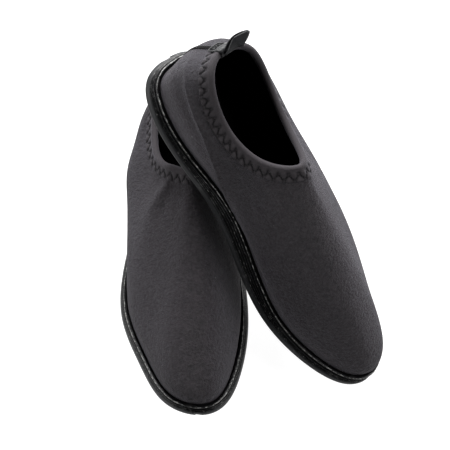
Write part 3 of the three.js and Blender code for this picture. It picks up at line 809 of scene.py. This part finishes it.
def foam_finish():
    finish = Finish("midsole_foam", Roughness=0.8, Specular_IOR_Level=0.3)
    cells = finish.node("ShaderNodeTexVoronoi", "Distance", inputs={
        "Vector": finish.spot(), "Scale": 1400.0})
    finish.feed("Base Color", finish.blend(
        cells, (0.012, 0.012, 0.013, 1), (0.03, 0.03, 0.032, 1)))
    finish.bump(cells, 0.0003)
    return finish.material


def felt_finish():
    finish = Finish("board_felt", Roughness=0.95, Sheen_Weight=0.2, Specular_IOR_Level=0.2)
    fibres = finish.noise(900, 6, 0.75)
    finish.feed("Base Color", finish.blend(
        fibres, (0.03, 0.03, 0.031, 1), (0.1, 0.1, 0.102, 1)))
    finish.bump(fibres, 0.0003)
    return finish.material


def insole_finish(settings):
    finish = Finish("insole_cloth", Roughness=0.95, Specular_IOR_Level=0.08)
    around, across = finish.flow()
    weave = (around * (TURN / 0.0016)).sine() * (across * (TURN / 0.0016)).sine()
    paleness = finish.noise(22, 4)
    finish.feed("Base Color", finish.blend(
        weave * 0.3 + paleness * 0.7, shade(settings.insole, 0.55), shade(settings.insole, 1.6)))
    finish.bump(weave, 0.0003)
    return finish.material


# ------------------------------------------------------------------ pieces

def upper_piece(side, settings):
    """Shell of one upper: the outer surface, and the lining one wall behind it."""
    upper = Upper(side, settings)
    columns, rows = 384, 112
    u = np.arange(columns) / columns
    v = (np.linspace(0, 1, rows) ** 0.92)[:, None] * np.ones((1, columns))
    outer, normal = upper.surface(u, v)
    inner = outer - NEOPRENE * normal
    sections = np.concatenate([outer, inner[::-1]]).transpose(1, 0, 2)
    obj = solid(side, "upper_shell", sections, True,
                [neoprene_finish(settings), lining_finish(settings)],
                paint=lambda row, column: (column >= rows - 1).astype(int), centred=True)
    dress(obj, side, "upper")
    return obj


def thread_piece(side, name, node, path, normal, radius, ring, settings):
    """Sewing thread along a path."""
    obj = solid(side, name, tube(path, normal, radius, ring), ring, [thread_finish(settings)])
    return dress(obj, side, node)


def zigzag(phase):
    """Three-step zigzag: 0 at the inner row, 1 at the outer row, once there and back a pitch."""
    return 1 - abs(2 * (phase % 1.0) - 1)


def needle_relief(phase, distance, settings):
    """How far the sewn thread pulls the binding in: deep dimples where the zigzag turns, smaller
    ones at the four needle holes between, a groove along the thread, and puffs beside the turns.
    The second value, 0 to 1, says how far down in a hole or under the thread each point lies, and so how
    much painted shade the binding's colour gets there."""
    pitch = settings.zigzag_pitch / MM
    inner, outer = settings.zigzag_inner / MM, settings.zigzag_outer / MM
    depth = settings.needle_depth / MM
    pulled = np.zeros(np.broadcast(phase, distance).shape)
    hollow = np.zeros(pulled.shape)
    for hole in range(6):
        turn = hole % 3 == 0
        along = round_distance(phase, hole / 6) * pitch
        down = distance - (inner + (outer - inner) * zigzag(hole / 6))
        dimple = np.exp(-(along ** 2 + down ** 2) / (1.5 if turn else 0.6))
        pulled = pulled + depth * (1.15 if turn else 0.55) * dimple
        hollow = hollow + (1.8 if turn else 1.2) * dimple
        puff = np.exp(-(((abs(along) - pitch / 2) / 1.5) ** 2 + (down / 1.3) ** 2))
        pulled = pulled - (0.25 * depth * puff if turn else 0)
    path = inner + (outer - inner) * zigzag(phase)
    inside = np.clip((outer + 0.6 - distance) / 0.5, 0, 1)
    inside = inside * np.clip((distance - inner + 0.6) / 0.5, 0, 1)
    groove = bell(distance - path, 0.7) * inside
    return pulled + 0.3 * depth * groove, hollow + 0.35 * groove


def tape_height(distance, reach):
    """Thickness of the folded binding over the upper: thin at its cut edge, even over the stitched
    part and swelling into the roll at the rim."""
    up = np.clip((reach - distance) / 0.9, 0, 1)
    near = np.clip(1 - distance / 4.6, 0, 1)
    swell = (BINDING_ROLL - BINDING_BODY) * near ** 1.3
    return BINDING_EDGE + (BINDING_BODY - BINDING_EDGE) * np.sin(up * np.pi / 2) + swell


def binding_piece(side, settings):
    """Edge tape folded over the rim: down the outside, round the roll, up the inside and back."""
    upper = Upper(side, settings)
    columns = 720
    u = np.arange(columns) / columns
    run_u, run = rim_run(upper, ZIGZAG_MIDDLE)
    count = round(run[-1] / (settings.zigzag_pitch / MM))
    phase = (np.interp(u, run_u, run) / run[-1] * count)[None, :]
    reach = settings.binding_reach / MM + 0.3 * np.cos(TURN * (phase - 0.5))
    share = np.concatenate([[1, 1, 0.985], np.linspace(0.96, 0.28, 22), [0.21, 0.14, 0.07]])[:, None]
    outer_d = share * reach
    height = tape_height(outer_d, reach)
    pulled, hollow = needle_relief(phase, outer_d, settings)
    outer_off = BOND + height - pulled
    outer_off[0] = BOND
    angle = np.radians(np.arange(0, 181, 15))[:, None] * np.ones((1, columns))
    radius = NEOPRENE / 2 + BOND + BINDING_ROLL
    roll_d, roll_off = -radius * np.sin(angle), -NEOPRENE / 2 + radius * np.cos(angle)
    inner_d = np.array([0.06, 0.15, 0.3, 0.5, 0.7, 0.85, 0.96, 1, 1])[:, None] * reach * BINDING_INSIDE
    inner_height = tape_height(inner_d, reach * BINDING_INSIDE)
    inner_off = -NEOPRENE - BOND - inner_height
    inner_off[-1] = -NEOPRENE - BOND
    within = NEOPRENE / 2 + BOND
    back_angle = np.radians(np.arange(180, -1, -45))[:, None] * np.ones((1, columns))
    back_d, back_off = -within * np.sin(back_angle), -NEOPRENE / 2 + within * np.cos(back_angle)
    flat = np.array([0.75, 0.5, 0.25])[:, None] * reach
    distance = np.concatenate([outer_d, roll_d, inner_d, flat * BINDING_INSIDE, back_d, flat[::-1]])
    off = np.concatenate([outer_off, roll_off, inner_off, np.full_like(flat, -NEOPRENE - BOND),
                          back_off, np.full_like(flat, BOND)])
    points, _ = upper.spots(u, distance, off)
    sections = points.transpose(1, 0, 2)
    # The tint carries painted shade into the needle holes and under the thread; the three rows at the
    # tape's cut edge are darkened as well.
    tint = np.zeros(distance.shape)
    tint[:len(hollow)] = hollow
    tint[:3] = 0.55
    obj = solid(side, "collar_tape", sections, True, [binding_finish(settings)], tint=tint.T)
    return dress(obj, side, "collar_binding")


def collar_thread_piece(side, settings):
    """Zigzag thread: from each needle hole it rises over the tape and dips into the next."""
    upper = Upper(side, settings)
    run_u, run = rim_run(upper, ZIGZAG_MIDDLE)
    count = round(run[-1] / (settings.zigzag_pitch / MM))
    steps = np.array([0, 0.12, 0.3, 0.5, 0.7, 0.88])
    stitch = (np.arange(6 * count)[:, None] + steps[None, :]).ravel()
    rise = np.sin(np.pi * (stitch % 1.0)) ** 0.6
    phase = stitch / 6
    u = np.interp(phase / count * run[-1], run, run_u)
    inner, outer = settings.zigzag_inner / MM, settings.zigzag_outer / MM
    distance = (inner + (outer - inner) * zigzag(phase))[None, :]
    tape = tape_height(distance, settings.binding_reach / MM)
    pulled, _ = needle_relief(phase[None, :], distance, settings)
    points, normal = upper.spots(u, distance, BOND + tape - pulled - 0.45 + 0.6 * rise[None, :])
    return thread_piece(side, "collar_zigzag", "collar_stitching", points[0], normal[0],
                        settings.thread / MM, True, settings)


def heel_rate(upper):
    """How much of u one millimetre takes along the rim at the heel."""
    points, _ = upper.spots(np.array([-0.01, 0.01]), np.zeros((1, 2)), 0.0)
    return 0.02 / np.linalg.norm(points[0, 1] - points[0, 0])


def heel_pieces(side, settings):
    """Tape down the inside of the heel seam, and flat zigzag thread down the outside."""
    upper = Upper(side, settings)
    rate = heel_rate(upper)
    across = np.linspace(-1, 1, 15)
    u = across * SEAM_HALF * rate
    distance = np.linspace(SEAM_FROM, SEAM_TO, 70)[:, None] * np.ones((1, len(u)))
    edge = 0.25 + 0.4 * np.sqrt(np.clip(1 - across ** 6, 0, 1))
    seam = -0.25 * bell(across, 0.12)
    behind = -NEOPRENE - SEAM_GAP
    outer, _ = upper.spots(u, distance, behind)
    inner, _ = upper.spots(u, distance, behind - (edge + seam)[None, :])
    sections = np.concatenate([outer, inner[:, ::-1]], 1)
    tape = solid(side, "heel_tape", sections, False, [satin_finish(settings, "seam_tape", 0.7, 0.6)])
    dress(tape, side, "heel_seam_tape")

    stitch = np.arange(FLATLOCK_STITCHES * 6 + 1) / 6
    swing = 2 * zigzag(stitch / 2) - 1
    down = FLATLOCK_FROM + FLATLOCK_RUN * stitch / FLATLOCK_STITCHES
    rise = 0.25 + 0.2 * np.sin(np.pi * (stitch % 1.0))
    points, normal = upper.spots(swing * FLATLOCK_HALF * rate, down[None, :], rise[None, :])
    thread_piece(side, "heel_flatlock", "heel_seam_stitching", points[0], normal[0],
                 settings.thread / MM, False, settings)


def anchor_pieces(side, settings):
    """Saddle of tape over the binding at the heel, and the box of thread that holds it."""
    upper = Upper(side, settings)
    rate = heel_rate(upper)
    half = TAB_WIDTH / 2
    across = np.linspace(-1, 1, 25)
    u = across * half * rate
    ones = np.ones((1, len(u)))
    rounding = 0.5 * (1 - np.sqrt(np.clip(1 - across ** 8, 0, 1)))[None, :]
    clear, tape, reach = SADDLE_CLEAR, SADDLE_TAPE, SADDLE_REACH
    share = np.array([1, 1, 0.97, 0.9, 0.8, 0.7, 0.6, 0.5, 0.4, 0.3, 0.2, 0.1])[:, None]
    sewn = PULL_DEPTH * bell(across, 5) * bell(share * reach - PULL_MIDDLE, PULL_HALF)
    outer_off = clear + tape * np.ones_like(share) * ones - rounding - sewn
    outer_off[0] = clear - sewn[0]
    angle = np.radians(np.arange(0, 181, 15))[:, None]
    middle = -NEOPRENE / 2
    outer_r, inner_r = NEOPRENE / 2 + clear + tape, NEOPRENE / 2 + clear
    roll_d = -(outer_r - rounding) * np.sin(angle)
    roll_off = middle + (outer_r - rounding) * np.cos(angle)
    inner_side = share[::-1] * reach * ones
    inner_off = -NEOPRENE - clear - tape * np.ones_like(share) * ones + rounding
    inner_off[-1] = -NEOPRENE - clear
    back = np.array([0.75, 0.5, 0.25])[:, None] * reach * ones
    back_angle = np.radians(np.arange(180, -1, -30))[:, None]
    distance = np.concatenate([share * reach * ones, roll_d, inner_side, back,
                               -inner_r * np.sin(back_angle) * ones, back[::-1]])
    off = np.concatenate([outer_off, roll_off, inner_off, np.full_like(back, -NEOPRENE - clear),
                          middle + inner_r * np.cos(back_angle) * ones, np.full_like(back, clear)])
    points, _ = upper.spots(u, distance, off)
    sections = points.transpose(1, 0, 2)
    saddle = solid(side, "pull_saddle", sections, False,
                   [satin_finish(settings, "saddle_tape", 0.3, 0.6)])
    dress(saddle, side, "pull_tab_anchor")

    box = [[-BOX_HALF, BOX_FROM], [BOX_HALF, BOX_FROM], [BOX_HALF, BOX_TO], [-BOX_HALF, BOX_TO]]
    corners = np.array([box[k] for k in (0, 1, 2, 3, 1, 2, 0, 3, 0)])
    per_side = 24
    step = np.arange((len(corners) - 1) * per_side)
    start, part = step // per_side, (step % per_side) / per_side
    seam = corners[start] + part[:, None] * (corners[start + 1] - corners[start])
    rise = np.sin(np.pi * (part * 4 % 1.0)) ** 0.6
    sink = PULL_DEPTH * bell(seam[:, 1] - PULL_MIDDLE, PULL_HALF)
    off = clear + tape - sink - 0.2 + 0.42 * rise
    points, normal = upper.spots(seam[:, 0] * half * rate, seam[:, 1][None, :], off[None, :])
    thread_piece(side, "pull_box_stitch", "pull_tab_stitching", points[0], normal[0],
                 settings.thread / MM * 0.9, True, settings)


def pull_tab_piece(side, settings):
    """Leaf-shaped loop of tape: two plies that part in the middle and meet at a pointed tip. Each
    section goes across the tape, widest a third of the way up, twisting and leaning as it rises."""
    upper = Upper(side, settings)
    lean, rake, twist = TABS[side]
    middle, _ = upper.spots(np.zeros(1), np.zeros((1, 1)), -NEOPRENE / 2)
    to_rim, _, _ = upper.tangents(np.zeros(1), np.ones((1, 1)))
    root = middle[0, 0] + TAB_ROOT_RISE * to_rim[0, 0]
    rake = np.radians(rake)
    rising = np.array([0, np.sin(rake), np.cos(rake)])
    facing = np.array([0, rising[2], -rising[1]])
    sideways = np.array([1.0, 0, 0])
    widest = TAB_GAP / 2 + TAB_TAPE
    leaf = np.array([TAB_ROOT, TAB_ROOT + 0.3, widest, widest, widest * 0.8, TAB_TAPE * 0.9])
    share = np.linspace(0.02, 0.985, 44)
    ply = open_spline(leaf[:, None, None], share[:, None])[:, 0, 0]
    rise = np.concatenate([[-TAB_ROOT], share * TAB_HEIGHT, [TAB_HEIGHT], share[::-1] * TAB_HEIGHT])
    off = np.concatenate([[0], ply, [0], -ply[::-1]])
    inner_rise = np.concatenate([[-TAB_ROOT + TAB_TAPE], share * TAB_HEIGHT, [TAB_HEIGHT - TAB_TIP],
                                 share[::-1] * TAB_HEIGHT])
    inner_ply = np.maximum(ply - TAB_TAPE * 0.82, 0.06)
    inner_off = np.concatenate([[0], inner_ply, [0], -inner_ply[::-1]])
    cross = np.array([-1, -0.985, -0.93, -0.6, -0.2, 0.2, 0.6, 0.93, 0.985, 1])
    crown = 0.16 * np.sqrt(np.clip(1 - cross ** 8, 0, 1))

    def at(rises, offs, cross, crown):
        climb = np.clip(rises / TAB_HEIGHT, 0, 1)
        half = TAB_WIDTH / 2 * (0.8 + 0.36 * climb - 1.0 * climb ** 2.4)
        half = np.maximum(half, 0.9)[:, None]
        turn = (np.radians(twist) * np.minimum(1.6 * climb, 1) ** 2)[:, None]
        push = offs[:, None] + np.sign(offs)[:, None] * crown
        flat = cross[None, :] * half
        x = flat * np.cos(turn) - push * np.sin(turn) - lean * climb[:, None] ** 1.5
        out = push * np.cos(turn) + flat * np.sin(turn)
        return root + rises[:, None, None] * rising + out[..., None] * facing + x[..., None] * sideways

    outer = at(rise, off, cross, crown)
    inner = at(inner_rise, inner_off, cross[::-1], 0)
    sections = np.concatenate([outer, inner], 1)
    obj = solid(side, "pull_loop", sections, True, [satin_finish(settings)])
    return dress(obj, side, "pull_tab", "tab")


def band_profile(u, settings):
    """Outer face of the rubber band at each u, from its bottom to its top: heights, how far the face
    sinks, and how exposed it is to rubbing, which also places pale specks of painted highlight. Rib
    grooves share the height below the channel, so they fan out at the waist."""
    top = foxing_top(u)[:, None]
    channel_low = top - LIP - CHANNEL
    share = np.linspace(0, 1, 46)[None, :]
    below = FOXING_BOTTOM + share * (channel_low - FOXING_BOTTOM)
    span = channel_low - FOXING_BOTTOM
    sink = 0.35 * (1 - np.clip(share * span / 0.5, 0, 1)) ** 2
    ribs = settings.ribs
    for k in range(1, ribs):
        sink = sink + settings.rib_depth / MM * bell((share - k / ribs) * span, 0.26)
    sink = sink - 0.22 * abs(np.sin(np.pi * ribs * share))
    steps = np.array([[0.0, 0.0], [0.06, 0.35], [0.12, 0.9], [0.2, 1.0], [0.5, 1.0], [0.8, 1.0],
                      [0.88, 0.9], [0.94, 0.35], [1.0, 0.05]])
    channel_h = channel_low + CHANNEL * steps[None, :, 0]
    channel_s = np.repeat(CHANNEL_DEPTH * steps[None, :, 1], len(u), 0)
    arc = np.radians(np.linspace(-70, 90, 9))[None, :]
    lip_h = top - LIP / 2 + LIP / 2 * np.sin(arc)
    lip_s = 0.45 - 0.45 * np.cos(arc) + 0 * top
    heights = np.concatenate([below, channel_h, lip_h], 1)
    sinks = np.concatenate([np.broadcast_to(sink, below.shape), channel_s, lip_s], 1)
    # Pale specks on the rib tops and the lip's upper corner: partly scuffing, partly painted highlight.
    ridges = np.broadcast_to(0.6 * abs(np.sin(np.pi * ribs * share)) ** 6, below.shape)
    lip_wear_and_highlight = np.broadcast_to(0.25 + 0.75 * bell(arc - 0.7, 0.7), lip_h.shape)
    return heights, sinks, np.concatenate([ridges, 0 * channel_s, lip_wear_and_highlight], 1)


def band_unevenness(u, heights, side):
    """Small waves of the hand-laid band, and the slanted butt joint of its two ends."""
    uneven = 0.1 * np.sin(TURN * 23 * u + 2 * np.sin(TURN * 4 * u)) + 0.07 * np.sin(TURN * 61 * u)
    joint = 0.485 if side == "right" else 0.9
    slant = round_distance(u, joint)[:, None] * 690 + (heights - 8) * 0.9
    return uneven[:, None] * np.ones_like(heights) - 0.55 * bell(slant, 0.55)


def foxing_pieces(side, settings, upper_settings):
    """Rubber band round the side, and the thread in its channel."""
    columns = 1000
    u = np.arange(columns) / columns
    heights, sinks, paleness = band_profile(u, settings)
    face = np.maximum(flare_at(heights), 0) - sinks + band_unevenness(u, heights, side)
    outer = place(outline(u[:, None], face), heights)
    tall = foxing_top(u)[:, None] - FOXING_BOTTOM
    back_heights = np.linspace(1, 0, 6)[None, :] * tall + FOXING_BOTTOM
    back = place(outline(u[:, None], -FOXING_THICKNESS * np.ones_like(back_heights)), back_heights)
    sections = np.concatenate([outer, back], 1)
    # The tint places the pale specks of scuffing and painted highlight.
    tint = np.concatenate([paleness, 0 * back_heights], 1)
    band = solid(side, "foxing_band", sections, True,
                 [rubber_finish("foxing_rubber", settings.band, 0.3, 0.2, worn_and_highlit=True)], tint=tint)
    dress(band, side, "foxing")

    walk = np.linspace(0, 1, 2001)
    run = arc_length(place(outline(walk), 0 * walk))
    count = round(run[-1] / (settings.stitch / MM))
    steps = np.array([0, 0.05, 0.15, 0.4, 0.65, 0.85, 0.95])
    stitch = (np.arange(count)[:, None] + steps[None, :]).ravel()
    u = np.interp(stitch / count * run[-1], run, walk)
    height = foxing_top(u) - LIP - CHANNEL / 2
    rise = np.clip(np.sin(np.pi * (stitch % 1.0)) * 2.2, 0, 1)
    floor = np.maximum(flare_at(height), 0) - CHANNEL_DEPTH
    path = place(outline(u, floor - 0.35 + 0.7 * rise), height)
    normal = place(outline(u, floor + 1), height) - place(outline(u, floor), height)
    thread_piece(side, "foxing_seam", "foxing_stitching", path, normal, CHANNEL_THREAD, True,
                 upper_settings)


def sole_sides(along, outwards):
    """Left and right edge of the outline, moved outwards, at places along the sole."""
    u = np.linspace(0, 1, 4001)
    x, a = outline(u, outwards)
    heel, toe = np.argmin(a), np.argmax(a)
    x, a = np.roll(x[:-1], -heel), np.roll(a[:-1], -heel)
    toe = (toe - heel) % len(a)
    low = np.interp(along, a[:toe + 1], x[:toe + 1])
    back_a, back_x = a[toe:][::-1], x[toe:][::-1]
    high = np.interp(along, back_a, back_x)
    return low, high, a.min(), a.max()


def just_within(start, end, share):
    """Places from start to end, kept off both, where the outline has no width."""
    return start + (end - start) * (0.0004 + 0.9992 * share)


def sole_stations(count, outwards):
    """Places along the sole, close together at both ends where the outline turns in."""
    _, _, start, end = sole_sides(np.zeros(1), outwards)
    angle = np.linspace(0, 1, count)
    share = 0.35 * (1 - np.cos(np.pi * angle)) / 2 + 0.65 * angle
    return just_within(start, end, share)


def outsole_piece(side, settings):
    """Outsole as sections across the shoe: a ground face cut by chevron grooves, whose ends notch
    the edge, a rounded side wall and a flat top."""
    stations = 520
    rings = [(FLARE - 0.8, 0.0), (FLARE - 0.25, 0.25), (FLARE - 0.3, 0.9), (FLARE - 0.5, 1.6),
             (flare_at(3.0), 3.0), (flare_at(OUTSOLE_TOP), OUTSOLE_TOP)]
    base = sole_stations(stations, rings[0][0])
    share = (base - base.min()) / (base.max() - base.min())
    lefts, rights, places_at = [], [], []
    for outwards, _ in rings:
        _, _, start, end = sole_sides(np.zeros(1), outwards)
        along = just_within(start, end, share)
        low, high, _, _ = sole_sides(along, outwards)
        lefts.append(low)
        rights.append(high)
        places_at.append(along)
    across = np.sin(np.linspace(-0.5, 0.5, 49) * np.pi)[None, :]
    centre, half = (lefts[0] + rights[0]) / 2, (rights[0] - lefts[0]) / 2
    x = centre[:, None] + half[:, None] * across
    along = places_at[0][:, None] * np.ones_like(x)
    pitch, depth = settings.tread_pitch / MM, settings.tread_depth / MM
    chevron = CHEVRON_RISE * abs(x) / CHEVRON_HALF
    phase = (along + chevron + GROOVE_HALF) % pitch
    wall = np.clip((GROOVE_HALF - abs(phase - GROOVE_HALF)) / 0.45, 0, 1)
    ends = np.clip((along - 9) / 2, 0, 1) * np.clip((LENGTH - 10 - along) / 2, 0, 1)
    sipes = 0.5 * bell((along - chevron + 4) % (pitch / 2) - pitch / 4, 0.35)
    cut = depth * (wall * wall * (3 - 2 * wall)) * ends + sipes * ends * (1 - wall)
    bottom = place((x, along), cut)
    walls_right, walls_left = (
        [place((edges[k], places_at[k]), rings[k][1])[:, None] for k in range(1, len(rings))]
        for edges in (rights, lefts))
    top_share = np.linspace(1, 0, 11)[1:-1][None, :]
    top_x = lefts[-1][:, None] + (rights[-1] - lefts[-1])[:, None] * top_share
    top = place((top_x, places_at[-1][:, None] * np.ones_like(top_x)), OUTSOLE_TOP)
    sections = np.concatenate([bottom, *walls_right, top, *walls_left[::-1]], 1)
    obj = solid(side, "outsole_tread", sections, False,
                [rubber_finish("outsole_rubber", settings.outsole, 0.5, 0.6)])
    return dress(obj, side, "outsole")


def insole_piece(side, settings):
    """Cloth-faced foam insole: domed under the arch, cupped at the heel, with rounded edges."""
    inset = UPPER_INSET + NEOPRENE + CLEARANCE + 0.5
    along = sole_stations(200, -inset)
    low, high, start, end = sole_sides(along, -inset)
    share = (along - start) / (end - start)
    across = np.sin(np.linspace(-0.5, 0.5, 41) * np.pi)[None, :]
    x = (low + high)[:, None] / 2 + (high - low)[:, None] / 2 * across
    cup = 1.6 * abs(across) ** 4 * bell(share - 0.08, 0.35)[:, None]
    arch = 1.8 * np.clip(across, 0, 1) ** 2 * bell(share - 0.45, 0.16)[:, None]
    soft = 0.9 * (1 - np.sqrt(np.clip(1 - across ** 10, 0, 1)))
    print_of_use = 0.35 * bell(across, 0.6) * (bell(share - 0.14, 0.1) + bell(share - 0.7, 0.12))[:, None]
    ends = 1 - np.sqrt(np.clip(1 - (2 * share - 1) ** 40, 0, 1))
    height = INSOLE_TOP + cup + arch - soft - print_of_use - ends[:, None]
    top = place((x, along[:, None] * np.ones_like(x)), height)
    under = place((x, along[:, None] * np.ones_like(x)), INSOLE_BOTTOM * np.ones_like(x))[:, ::-1]
    sections = np.concatenate([top, under], 1)
    obj = solid(side, "insole_pad", sections, False, [insole_finish(settings)])
    dress(obj, side, "insole")
    return obj


# ------------------------------------------------------------------ operators

class SHOES_OT_uppers(bpy.types.Operator):
    """Build the neoprene shell of each shoe"""

    bl_idname = "shoes.uppers"
    bl_label = "Uppers"

    def execute(self, context):
        for side in SIDES:
            upper_piece(side, context.scene.shoe_upper)
        return {"FINISHED"}


class SHOES_OT_collars(bpy.types.Operator):
    """Build the rolled binding and its zigzag thread round each collar"""

    bl_idname = "shoes.collars"
    bl_label = "Collars"

    def execute(self, context):
        for side in SIDES:
            binding_piece(side, context.scene.shoe_upper)
            collar_thread_piece(side, context.scene.shoe_upper)
        return {"FINISHED"}


class SHOES_OT_heels(bpy.types.Operator):
    """Build the tape and thread of each heel seam"""

    bl_idname = "shoes.heels"
    bl_label = "Heel seams"

    def execute(self, context):
        for side in SIDES:
            heel_pieces(side, context.scene.shoe_upper)
        return {"FINISHED"}


class SHOES_OT_pull_tabs(bpy.types.Operator):
    """Build each pull tab, the saddle it stands on and the thread that holds it"""

    bl_idname = "shoes.pull_tabs"
    bl_label = "Pull tabs"

    def execute(self, context):
        for side in SIDES:
            anchor_pieces(side, context.scene.shoe_upper)
            pull_tab_piece(side, context.scene.shoe_upper)
        return {"FINISHED"}


class SHOES_OT_foxings(bpy.types.Operator):
    """Build the ribbed rubber band round each shoe and the thread in its channel"""

    bl_idname = "shoes.foxings"
    bl_label = "Foxings"

    def execute(self, context):
        for side in SIDES:
            foxing_pieces(side, context.scene.shoe_sole, context.scene.shoe_upper)
        return {"FINISHED"}


class SHOES_OT_outsoles(bpy.types.Operator):
    """Build the treaded outsole of each shoe"""

    bl_idname = "shoes.outsoles"
    bl_label = "Outsoles"

    def execute(self, context):
        for side in SIDES:
            outsole_piece(side, context.scene.shoe_sole)
        return {"FINISHED"}


class SHOES_OT_insoles(bpy.types.Operator):
    """Build the insole of each shoe"""

    bl_idname = "shoes.insoles"
    bl_label = "Insoles"

    def execute(self, context):
        for side in SIDES:
            insole_piece(side, context.scene.shoe_sole)
        return {"FINISHED"}


class SHOES_OT_hidden_layers(bpy.types.Operator):
    """Give the midsoles and boards of the frame their foam and felt"""

    bl_idname = "shoes.hidden_layers"
    bl_label = "Hidden layers"

    def execute(self, context):
        finishes = {"midsole": foam_finish(), "strobel_board": felt_finish()}
        for side in SIDES:
            for node, material in finishes.items():
                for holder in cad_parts[f"{side}_{node}"].material_slots:
                    holder.material = material
        return {"FINISHED"}


class SHOES_OT_stage(bpy.types.Operator):
    """Set up the pale floor, the soft lights and the camera"""

    bl_idname = "shoes.stage"
    bl_label = "Stage"

    def execute(self, context):
        settings = context.scene.shoe_stage
        low, high = CAD_BOX
        middle = (low + high) / 2
        corners = FLOOR_HALF * np.array([[-1, -1], [1, -1], [1, 1], [-1, 1]])
        points = np.column_stack([corners, np.full(4, low.z - FLOOR_GAP)])
        floor = Finish("pale_floor", Roughness=0.9, Specular_IOR_Level=0.1)
        mottle = floor.noise(3, 2)
        floor.feed("Base Color", floor.blend(
            mottle, shade(settings.floor, 0.985), shade(settings.floor, 1.0)))
        floor.shader.inputs["Emission Color"].default_value = WHITE
        floor.shader.inputs["Emission Strength"].default_value = FLOOR_GLOW
        sheet = mesh_object("floor", points, np.array([[0, 1, 2, 3]]), corners, np.zeros(1, int),
                            [floor.material])

        world = bpy.data.worlds.new("even_sky")
        world.use_nodes = True
        background = world.node_tree.nodes["Background"]
        background.inputs["Color"].default_value = WHITE
        background.inputs["Strength"].default_value = settings.sky
        context.scene.world = world

        self.add_light(context, "back_light", settings.back, middle, Vector((0, 1, 0.6)))
        self.add_light(context, "left_light", settings.left, middle, Vector((-1, 0, 0.6)))
        self.add_light(context, "right_light", settings.right, middle, Vector((1, 0.1, 0.7)))

        camera_data = bpy.data.cameras.new("camera")
        camera_data.sensor_width = 36.0
        camera_data.lens = settings.lens
        camera = bpy.data.objects.new("camera", camera_data)
        context.scene.collection.objects.link(camera)
        elevation = settings.elevation
        back = Vector((0, -np.cos(elevation), np.sin(elevation)))
        camera.location = LOOK_AT + settings.distance * back
        camera.rotation_euler = (np.pi / 2 - elevation, 0, 0)
        context.scene.camera = camera
        context.scene.view_settings.view_transform = "Standard"
        return {"FINISHED"}

    def add_light(self, context, name, watts, target, offset):
        data = bpy.data.lights.new(name, "AREA")
        data.energy = watts
        data.size = LIGHT_WIDTH
        light = bpy.data.objects.new(name, data)
        context.scene.collection.objects.link(light)
        light.location = target + offset
        light.rotation_euler = (-offset).to_track_quat("-Z", "Y").to_euler()


class SHOES_PT_panel(bpy.types.Panel):
    """Settings of the shoes and one button for each group of pieces"""

    bl_idname = "SHOES_PT_panel"
    bl_label = "Slip-on shoes"
    bl_space_type = "VIEW_3D"
    bl_region_type = "UI"
    bl_category = "Shoes"

    def draw(self, context):
        for name, group in SETTINGS.items():
            box = self.layout.box()
            for key in group.__annotations__:
                box.prop(getattr(context.scene, name), key)
        for operator in OPERATORS:
            self.layout.operator(operator.bl_idname)


SETTINGS = {
    "shoe_upper": ShoeUpperSettings,
    "shoe_sole": ShoeSoleSettings,
    "shoe_stage": ShoeStageSettings,
}
OPERATORS = (
    SHOES_OT_uppers,
    SHOES_OT_collars,
    SHOES_OT_heels,
    SHOES_OT_pull_tabs,
    SHOES_OT_foxings,
    SHOES_OT_outsoles,
    SHOES_OT_insoles,
    SHOES_OT_hidden_layers,
    SHOES_OT_stage,
)


def register():
    for group in SETTINGS.values():
        bpy.utils.register_class(group)
    for kind in (*OPERATORS, SHOES_PT_panel):
        bpy.utils.register_class(kind)
    for name, group in SETTINGS.items():
        setattr(bpy.types.Scene, name, bpy.props.PointerProperty(type=group))


def unregister():
    for name in SETTINGS:
        delattr(bpy.types.Scene, name)
    for kind in (SHOES_PT_panel, *reversed(OPERATORS)):
        bpy.utils.unregister_class(kind)
    for group in SETTINGS.values():
        bpy.utils.unregister_class(group)


def main():
    register()
    bpy.ops.shoes.uppers()
    bpy.ops.shoes.collars()
    bpy.ops.shoes.heels()
    bpy.ops.shoes.pull_tabs()
    bpy.ops.shoes.foxings()
    bpy.ops.shoes.outsoles()
    bpy.ops.shoes.insoles()
    bpy.ops.shoes.hidden_layers()
    bpy.ops.shoes.stage()


if __name__ == "__main__":
    main()
